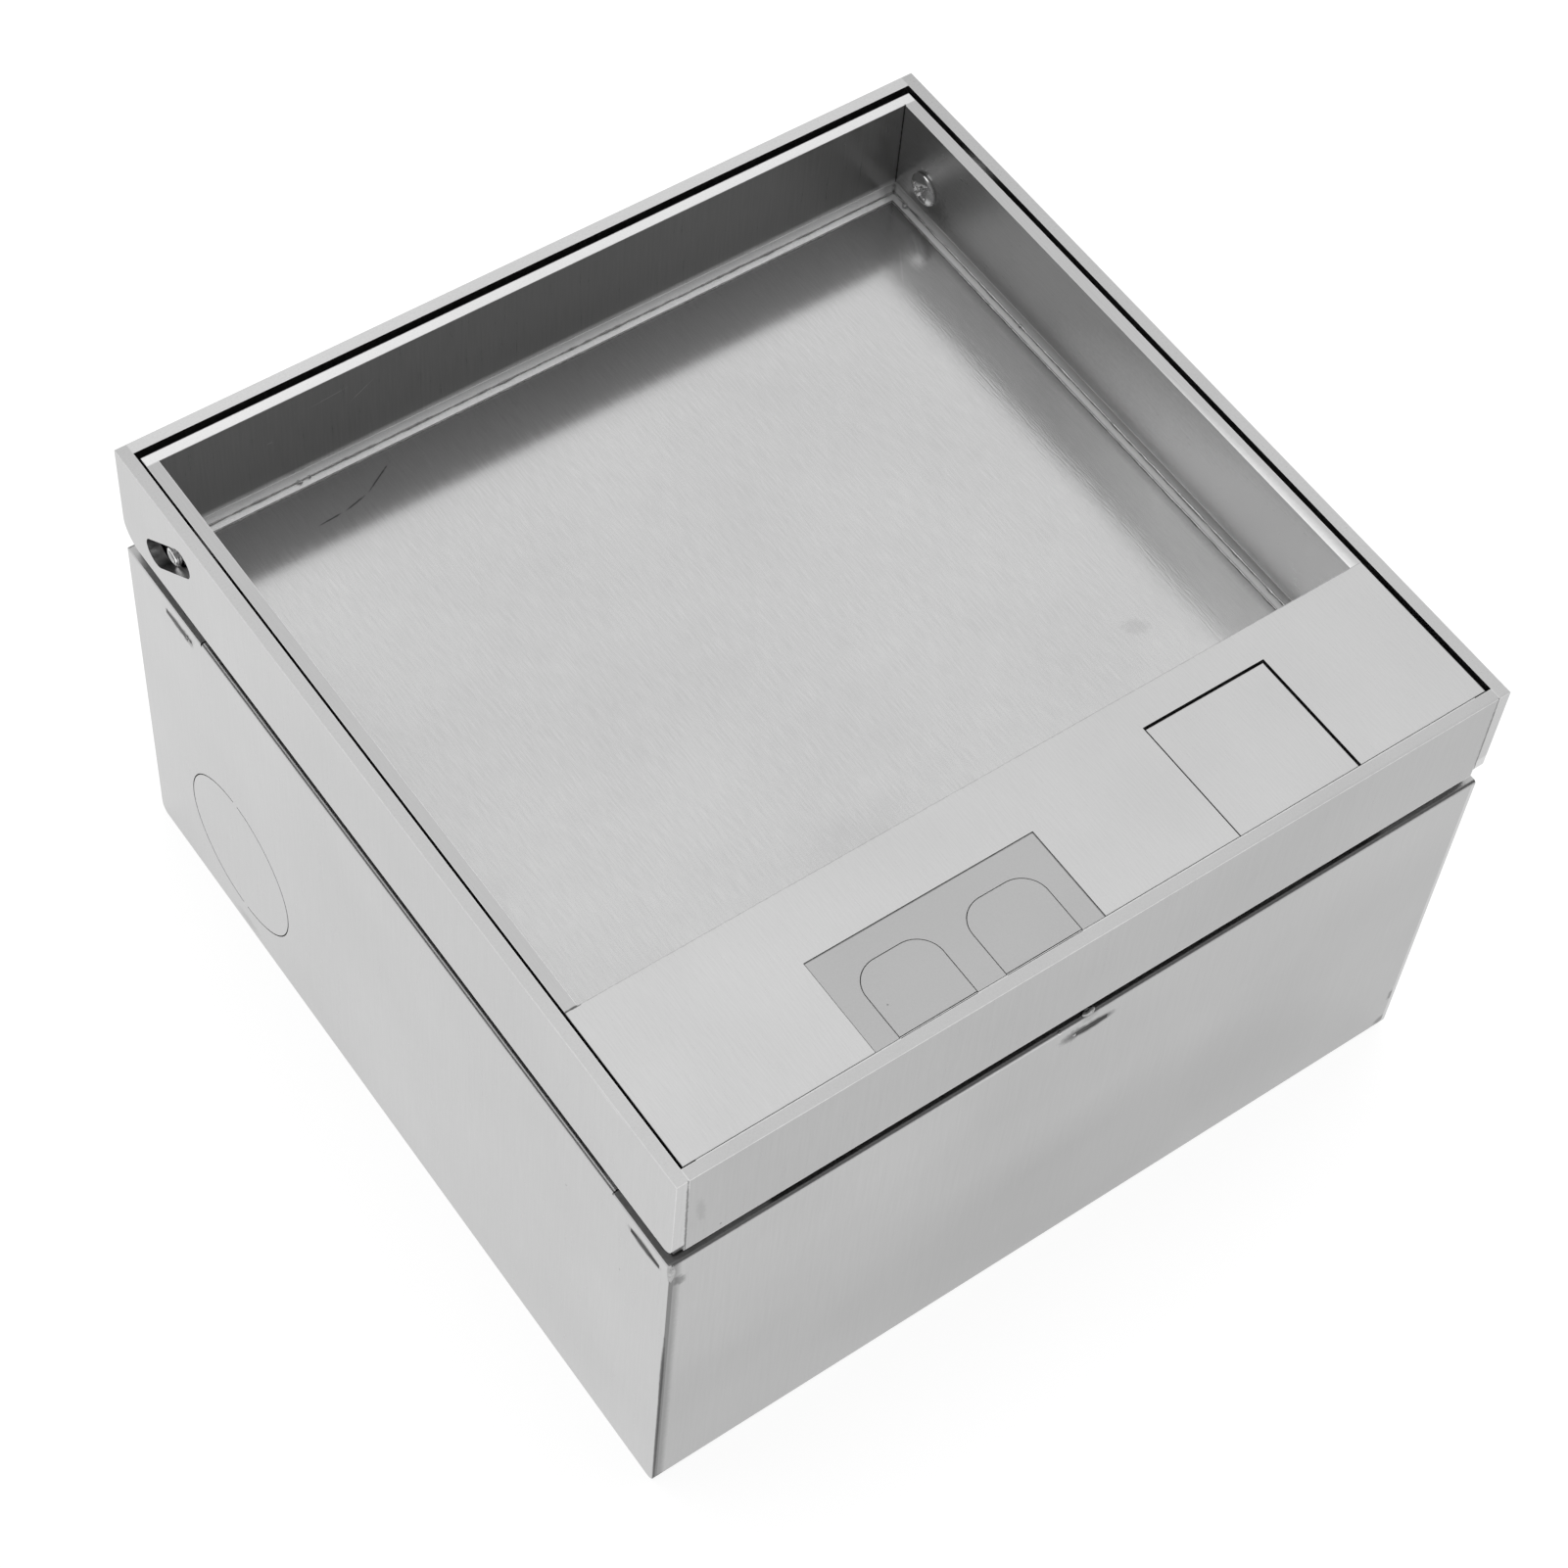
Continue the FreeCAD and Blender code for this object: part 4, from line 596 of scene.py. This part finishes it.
SHANK, THREAD_DEPTH, PITCH = 3.0, 0.45, 0.8
HEAD, HEAD_HEIGHT = 5.1, 2.2
WALL_PLATE, STAND_OUT = 3.5, 2.1
CROSS_HALF, CROSS_REACH, CROSS_DEPTH = 0.75, 2.9, 1.5
HEAD_TURN = 0.4
screw_low, screw_high = (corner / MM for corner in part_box("hinge_screws"))
SCREW_Y, SCREW_Z = (screw_low[1] + screw_high[1]) / 2, (screw_low[2] + screw_high[2]) / 2
# Painted shade: the left screw's end face is darker inside its chamfer, as it stands in the bar's window.
end_mark = mark((WALL_LEFT - WALL_PLATE - STAND_OUT, SCREW_Y, SCREW_Z), (1.0, 2.6, 2.6), 0.4, ragged=0.3)
zinc = screw_metal("screw_steel", tone=0.85, roughness=0.13, marks=[end_mark])


def hinge_screw(name, side, wall, *hidden):
    """Pan head and thread about X: rows of depth d below the head's top, and radius r, over the angle a.

    Head: d = 0.8 x 2.2 (1 - sqrt(1 - (r / 5.2)^2)), and 1.5 more in the cross.
    Shank: r = 3 - 0.45 |2 w - 1|, where w is the fraction of d / pitch - a / 2 pi.
    The end is a few plain circles.
    """
    around, head_rows, thread_rows = 128, 40, 8
    angle = np.linspace(0, 2 * np.pi, around, endpoint=False)
    end = HEAD_HEIGHT + WALL_PLATE + STAND_OUT
    chamfer, dimple = 0.4, 0.25

    across = np.linspace(0.06, HEAD, head_rows)[:, None] * np.ones(around)
    small = np.minimum(abs(across * np.cos(angle)), abs(across * np.sin(angle)))
    large = np.maximum(abs(across * np.cos(angle)), abs(across * np.sin(angle)))
    cross = np.clip((CROSS_HALF - small) / 0.3, 0, 1) * np.clip((CROSS_REACH - large) / 0.9, 0, 1)
    dome = HEAD_HEIGHT * (1 - np.sqrt(1 - (across / (HEAD + 0.1)) ** 2)) * 0.8
    head = np.stack([dome + CROSS_DEPTH * cross, across], axis=-1)

    below = np.arange(HEAD_HEIGHT, end - chamfer, PITCH / thread_rows)[:, None] * np.ones(around)
    wave = (below / PITCH - angle / (2 * np.pi)) % 1
    thread = np.stack([below, SHANK - THREAD_DEPTH * abs(2 * wave - 1)], axis=-1)

    def circles(*rows):
        """Plain circles, each given by its depth and radius."""
        return np.repeat(np.array(rows)[:, None], around, axis=1)

    tip = circles((end - chamfer, 2.8), (end, 2.3), (end, 1.5), (end - dimple, 1.2), (end - dimple, 0.3))
    profile = np.concatenate([head, circles((HEAD_HEIGHT, HEAD)), thread, tip])
    depth, radius = profile[..., 0], profile[..., 1]
    rings = np.stack([
        wall + side * (depth - HEAD_HEIGHT),
        SCREW_Y + radius * np.cos(angle + HEAD_TURN),
        SCREW_Z + radius * np.sin(angle + HEAD_TURN),
    ], axis=-1)
    steel_piece(name, rings * MM, zinc, "hinge_slider", "screw_steel", *hidden)


hinge_screw("hinge_screw_left", -1, WALL_LEFT, "hinge_screws")
hinge_screw("hinge_screw_right", 1, WALL_RIGHT, "hinge_screws")


# ---- Springs of the finger flap and of the cable flaps
# Bright spring wire, wound round the hinge pins of the three flaps, that holds each flap shut.
# One straight leg starts the coil and another ends it.

spring_wire = screw_metal("spring_steel", tone=0.5, roughness=0.25)


def flap_spring(name, node, body, wire, pin_y, start, out, coil_x, turns):
    """Coil about X with a straight leg at each end, from start and to out.

    Its angle falls from the side of the pin where the first leg lies, and X grows by 2.05 wires a turn.
    """
    low, high = (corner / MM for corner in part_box(node))
    radius = (high[2] - low[2]) / 2 - wire
    middle_z = (low[2] + high[2]) / 2
    first = np.pi / 2 if start[2] > middle_z else -np.pi / 2
    sweep = np.linspace(first, first - 2 * np.pi * turns, int(turns * 28))
    pitch = 2.05 * wire
    coil = np.stack([
        coil_x + wire + pitch * (first - sweep) / (2 * np.pi),
        pin_y + radius * np.cos(sweep),
        middle_z + radius * np.sin(sweep),
    ], axis=1)
    before = np.linspace(start, coil[0], 6)[:-1]
    after = np.linspace(coil[-1], out, 8)[1:]
    path = np.vstack([before, coil, after])
    rings = along(path, np.full(len(path), wire * 0.95))
    steel_piece(name, rings * MM, spring_wire, body, "spring_steel", node)


def finger_spring(wire=0.3, coil_radius=1.65, coil_x=42.5, turns=3.5):
    """Spring of the finger flap: one leg lies along the pin, and the other runs back under the flap."""
    low, high = (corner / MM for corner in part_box("finger_flap_spring"))
    pin_y = low[1] + coil_radius + wire
    middle_z = (low[2] + high[2]) / 2
    start = np.array((low[0] + wire, pin_y, middle_z - coil_radius))
    out = np.array((coil_x + 6 * wire, high[1], middle_z + coil_radius))
    flap_spring("finger_spring_coil", "finger_flap_spring", "finger_flap", wire, pin_y, start, out,
                coil_x, turns)


def cable_spring(key, wire=0.2, turns=3):
    """Spring of one cable flap: one leg runs forward under the flap, and the other back and down."""
    node = f"cable_flap_spring_{key}"
    low, high = (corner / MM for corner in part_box(node))
    pin_y = (low[1] + high[1]) / 2
    start = np.array((low[0] + wire, low[1] + wire, high[2] - wire))
    out = np.array((high[0] - wire, high[1] - wire, low[2] + wire))
    flap_spring(f"cable_spring_coil_{key}", node, f"cable_flap_{key}", wire, pin_y, start, out,
                low[0], turns)


finger_spring()
cable_spring("left")
cable_spring("right")


# ---- Cable outlet
# Grey moulded insert that fills a cut-out in the service strip, with two U notches for leads.
# Two flaps of the same plastic close the notches and turn on hidden steel pins.

def moulded_grain():
    """Shared group: the eroded texture of moulded plastic, as a tone factor and a height."""
    group, add, calc, start = open_group("moulded_grain", {"Scale": "Float"}, "Tone", "Height")
    place = add("ShaderNodeTexCoord").outputs["Object"]
    fine = add("ShaderNodeTexNoise", Vector=place, Scale=start["Scale"], Detail=2).outputs[0]
    slow = add("ShaderNodeTexNoise", Vector=place, Scale=30, Detail=2).outputs[0]
    tone = add("ShaderNodeMapRange", Value=calc("ADD", fine, slow), From_Min=0.6, From_Max=1.4, To_Min=0.96,
               To_Max=1.04)
    add("NodeGroupOutput", Tone=tone.outputs[0], Height=fine)
    return group


MOULD = moulded_grain()


def moulded(name, colour, roughness=0.45, marks=()):
    """Moulded plastic in one colour with a faint eroded texture."""
    material = bpy.data.materials.new(name)
    add, calc = shader(material)
    grain = add(MOULD, Scale=2500).outputs
    tone = marked(add, calc, grain["Tone"], marks)
    shade = calc("MULTIPLY", colour, tone, "ShaderNodeVectorMath")
    bump = add("ShaderNodeBump", Strength=0.08, Distance=0.0001, Height=grain["Height"])
    plastic = add("ShaderNodeBsdfPrincipled", Roughness=roughness, Base_Color=shade, Normal=bump.outputs[0])
    add("ShaderNodeOutputMaterial", Surface=plastic.outputs[0])
    return material


OUTLET_LIP = 4
outlet_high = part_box("cable_outlet")[1] / MM
# A dark spot near the front of the outlet, and painted shade in dark lines along its rear and right edges,
# where it meets the strip.
outlet_marks = [
    mark((-57.5, -112.5, TOP), (0.3, 0.3, 0.3), 0.5),
    mark((-40, outlet_high[1] - OUTLET_LIP, TOP), (150, 0.55, 2), 0.15, ragged=0.2),
    mark((outlet_high[0] - OUTLET_LIP, -110, TOP), (0.55, 90, 2), 0.15, ragged=0.2),
]
outlet_plastic = moulded("outlet_plastic", (0.46, 0.46, 0.46), marks=outlet_marks)
dress(outlet_plastic, "cable_outlet", "cable_flap_left", "cable_flap_right")
dress(spring_wire, "cable_flap_pins")


# ---- Box
# Folded stainless sheet: shell and two side panels, tabbed and welded at corners and slots.
# Heat has darkened the steel round the welds, and the laser left dark kerfs and a few burrs. The slots and
# the open seam at the front left corner are painted near black, as shade in them; the front face is painted
# darker than the sides, as shade, and the top edges in a tone of their own, as shade under the frame.

BRACKET_SHEET = 1.5
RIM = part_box("box_shell")[1][2] / MM
SLOT_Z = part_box("front_middle_bracket")[0][2] / MM + BRACKET_SHEET / 2
# Burns round the slot, at the rim and at the corners; three broad painted shades, the upper left one
# lighter; painted shade in the slot itself; a painted highlight as a bright stroke under the rim; and
# painted shade in the open seam at the left edge.
front_marks = [
    mark((-5.4, -SIDE, SLOT_Z + 0.2), (5.0, 0.8, 3.2), 0.42),
    mark((-0.9, -SIDE, RIM - 1), (3, 1.5, 2.5), 0.8),
    mark((-122.2, -SIDE, RIM - 9), (2.2, 0.8, 3.4), 0.5, turn=(0, 30, 0)),
    mark((-123.4, -SIDE, 2.1), (1.6, 0.8, 1.6), 0.45),
    mark((123.7, -SIDE, 17.4), (1.7, 0.8, 3.0), 0.45),
    mark((122.6, -SIDE, 4.6), (2.6, 0.8, 1.8), 0.5, turn=(0, 40, 0)),
    mark((10, -SIDE, 30), (90, 1, 45), 0.9, ragged=0.1),
    mark((-100, -SIDE, 112), (80, 1, 60), 1.08, ragged=0.1),
    mark((120, -SIDE, 50), (80, 1, 90), 0.95, ragged=0.1),
    mark((0.4, -SIDE, SLOT_Z), (8.2, 0.8, 2.5), 0.03, ragged=0.4),
    mark((-24, -SIDE, RIM - 1), (26, 0.8, 0.5), 1.25),
    mark((-SIDE + 0.8, -SIDE, 60), (2.8, 0.25, 300), 0.6, ragged=0.3),
]
# A burn at the rear slot, painted shade in the rear and front slots, two spots, a stain, and painted shade
# in the open seam at the front edge.
left_marks = [
    mark((-SIDE, 95.2, SLOT_Z), (0.8, 3.4, 2.6), 0.4),
    mark((-SIDE, 99.5, SLOT_Z), (0.8, 7.5, 2.3), 0.12, ragged=0.5),
    mark((-SIDE, -114.6, SLOT_Z), (0.8, 7.4, 2.4), 0.03, ragged=0.4),
    mark((-SIDE, -105.6, 89.6), (0.8, 0.35, 0.35), 0.4),
    mark((-SIDE, -82.2, 95.8), (0.8, 0.35, 0.35), 0.4),
    mark((-SIDE, 77, 3), (0.8, 7, 2.5), 0.85),
    mark((-SIDE + 0.8, -SIDE, 60), (2.8, 0.25, 300), 0.3, ragged=0.3),
    mark((-SIDE, -SIDE, 30), (0.8, 0.7, 58), 0.04, ragged=0.3),
    mark((-SIDE, -SIDE, 64), (0.8, 0.9, 24), 0.03, ragged=0.3),
]
# The front face's darker tone is painted shade, and its top edge has a tone of its own as shade in the gap
# under the frame.
shell_steel = stainless("box_shell_stainless", UPRIGHT, tone=0.455, roughness=0.33,
                        top=(RIM - TOP_SKIN, 0.5, 0.33), marks=front_marks)
dress(shell_steel, "box_shell")
# The side panels' darker top edges are painted shade in the gap under the frame.
for key, marks in (("left", left_marks), ("right", [])):
    panel_steel = stainless(f"{key}_panel_stainless", UPRIGHT, tone=0.55, top=(RIM - TOP_SKIN, 0.5, 0.3),
                            marks=marks)
    dress(panel_steel, f"{key}_side_panel")

box_weld = stainless("box_weld", NO_GRAIN, tone=0.42, roughness=0.3, contrast=0.3, relief=0.6)
box_lumps = {
    "slot_weld_rear_left": ((-SIDE + 0.1, 93.6, SLOT_Z), (0.5, 1.0, 0.9), box_weld),
    "slot_weld_rear_left_spatter": ((-SIDE + 0.1, 95.2, SLOT_Z + 0.5), (0.35, 0.5, 0.5), box_weld),
    "slot_weld_front": ((-5.0, -SIDE + 0.15, SLOT_Z), (0.6, 0.35, 0.6), box_weld),
    "rim_weld_front": ((-1, -SIDE + 1.0, RIM + 0.2), (2.0, 1.1, 1.3), box_weld),
    "rim_burr_front": ((-10.4, -SIDE + 0.3, RIM - 0.5), (0.8, 0.5, 0.6), weld_metal),
    "corner_weld_front_left": ((-SIDE + 0.6, -SIDE + 0.3, RIM - 3.6), (1.1, 0.8, 4.2), box_weld),
}
for seed, (name, (place, size, metal)) in enumerate(box_lumps.items(), 21):
    weld_blob(name, place, size, seed, metal, "box", "box_sheet")


# ---- Inside the box
# Brackets, frame seats, spacers, rails and socket carrier of zinc-coated sheet; the brackets are tabbed
# through the box. Screws and nuts of bright zinc hold the frame and the carrier, and the lid rests on pads
# of black rubber.

def zinc_spangle():
    """Shared group: galvanising, as the tone of crystal cells and a soft height."""
    group, add, calc, start = open_group("zinc_spangle", {"Scale": "Float"}, "Tone", "Height")
    place = add("ShaderNodeTexCoord").outputs["Object"]
    cells = add("ShaderNodeTexVoronoi", Vector=place, Scale=start["Scale"])
    tone = add("ShaderNodeSeparateXYZ", Vector=cells.outputs["Color"]).outputs["X"]
    dust = add("ShaderNodeTexNoise", Vector=place, Scale=1200, Detail=2).outputs[0]
    add("NodeGroupOutput", Tone=tone, Height=dust)
    return group


SPANGLE = zinc_spangle()


def galvanised(name, tone, marks=()):
    """Zinc-coated sheet: cells of slightly different tone and roughness."""
    material = bpy.data.materials.new(name)
    add, calc = shader(material)
    cells = add(SPANGLE, Scale=220).outputs
    shade = add("ShaderNodeMapRange", Value=cells["Tone"], To_Min=tone * 0.9, To_Max=tone * 1.1).outputs[0]
    rough = add("ShaderNodeMapRange", Value=cells["Tone"], To_Min=0.38, To_Max=0.5).outputs[0]
    bump = add("ShaderNodeBump", Strength=0.06, Distance=0.0002, Height=cells["Height"])
    steel = add("ShaderNodeBsdfPrincipled", Metallic=1.0, Base_Color=marked(add, calc, shade, marks),
                Roughness=rough, Normal=bump.outputs[0])
    add("ShaderNodeOutputMaterial", Surface=steel.outputs[0])
    return material


# The tabs are painted near black where they come through the slots in the sheet: painted shade of the open
# slots, with heat tint from their welds.
tab_marks = [
    mark((0.5, -SIDE, SLOT_Z), (14, 3, 3), 0.03, ragged=0.3),
    mark((-SIDE, 101, SLOT_Z), (3, 14, 3), 0.12, ragged=0.3),
    mark((-SIDE, -114, SLOT_Z), (3, 14, 3), 0.03, ragged=0.3),
]
brackets = galvanised("bracket_steel", 0.42, tab_marks)
carrier = galvanised("carrier_steel", 0.5)
for name in nodes:
    if "bracket" in name or "seat" in name or name == "frame_spacers":
        dress(brackets, name)
    elif "rail" in name or name == "socket_carrier":
        dress(carrier, name)
dress(zinc, "frame_screws", "weld_nuts", "carrier_screws")
dress(moulded("pad_rubber", (0.03, 0.03, 0.03), roughness=0.7), "lid_rest_pads")


# ---- Modules and earth
# White moulded 45 mm modules set in the carrier's windows, with jack bodies of black plastic and stamped
# brass contacts. The earth stud stands on the box's floor with its nut and washer, all dressed as brass.

module_plastic = moulded("module_plastic", (0.74, 0.74, 0.72), roughness=0.35)
dress(module_plastic, "power_socket_1", "power_socket_2", "power_socket_3")
dress(module_plastic, "data_module_left", "data_module_right", "blank_module")
dress(moulded("jack_plastic", (0.05, 0.05, 0.055), roughness=0.5), "data_jacks")


def stamped_brass(name):
    """Brass with a faint brushed grain and slow patches of tarnish."""
    material = bpy.data.materials.new(name)
    add, calc = shader(material)
    streaks = add(GRAIN, Scale=(900, 900, 200)).outputs
    patch = add("ShaderNodeMix", _0=streaks["Cloud"])
    patch.data_type = "RGBA"
    patch.inputs["A"].default_value = (0.62, 0.44, 0.18, 1)
    patch.inputs["B"].default_value = (0.80, 0.62, 0.32, 1)
    rough = add("ShaderNodeMapRange", Value=streaks["Streak"], To_Min=0.2, To_Max=0.4).outputs[0]
    bump = add("ShaderNodeBump", Strength=0.05, Distance=0.0002, Height=streaks["Streak"])
    metal = add("ShaderNodeBsdfPrincipled", Metallic=1.0, Base_Color=patch.outputs["Result"],
                Roughness=rough, Normal=bump.outputs[0])
    add("ShaderNodeOutputMaterial", Surface=metal.outputs[0])
    return material


dress(stamped_brass("contact_brass"), "contact_sleeves", "earth_contacts", "earth_stud", "earth_fixings")
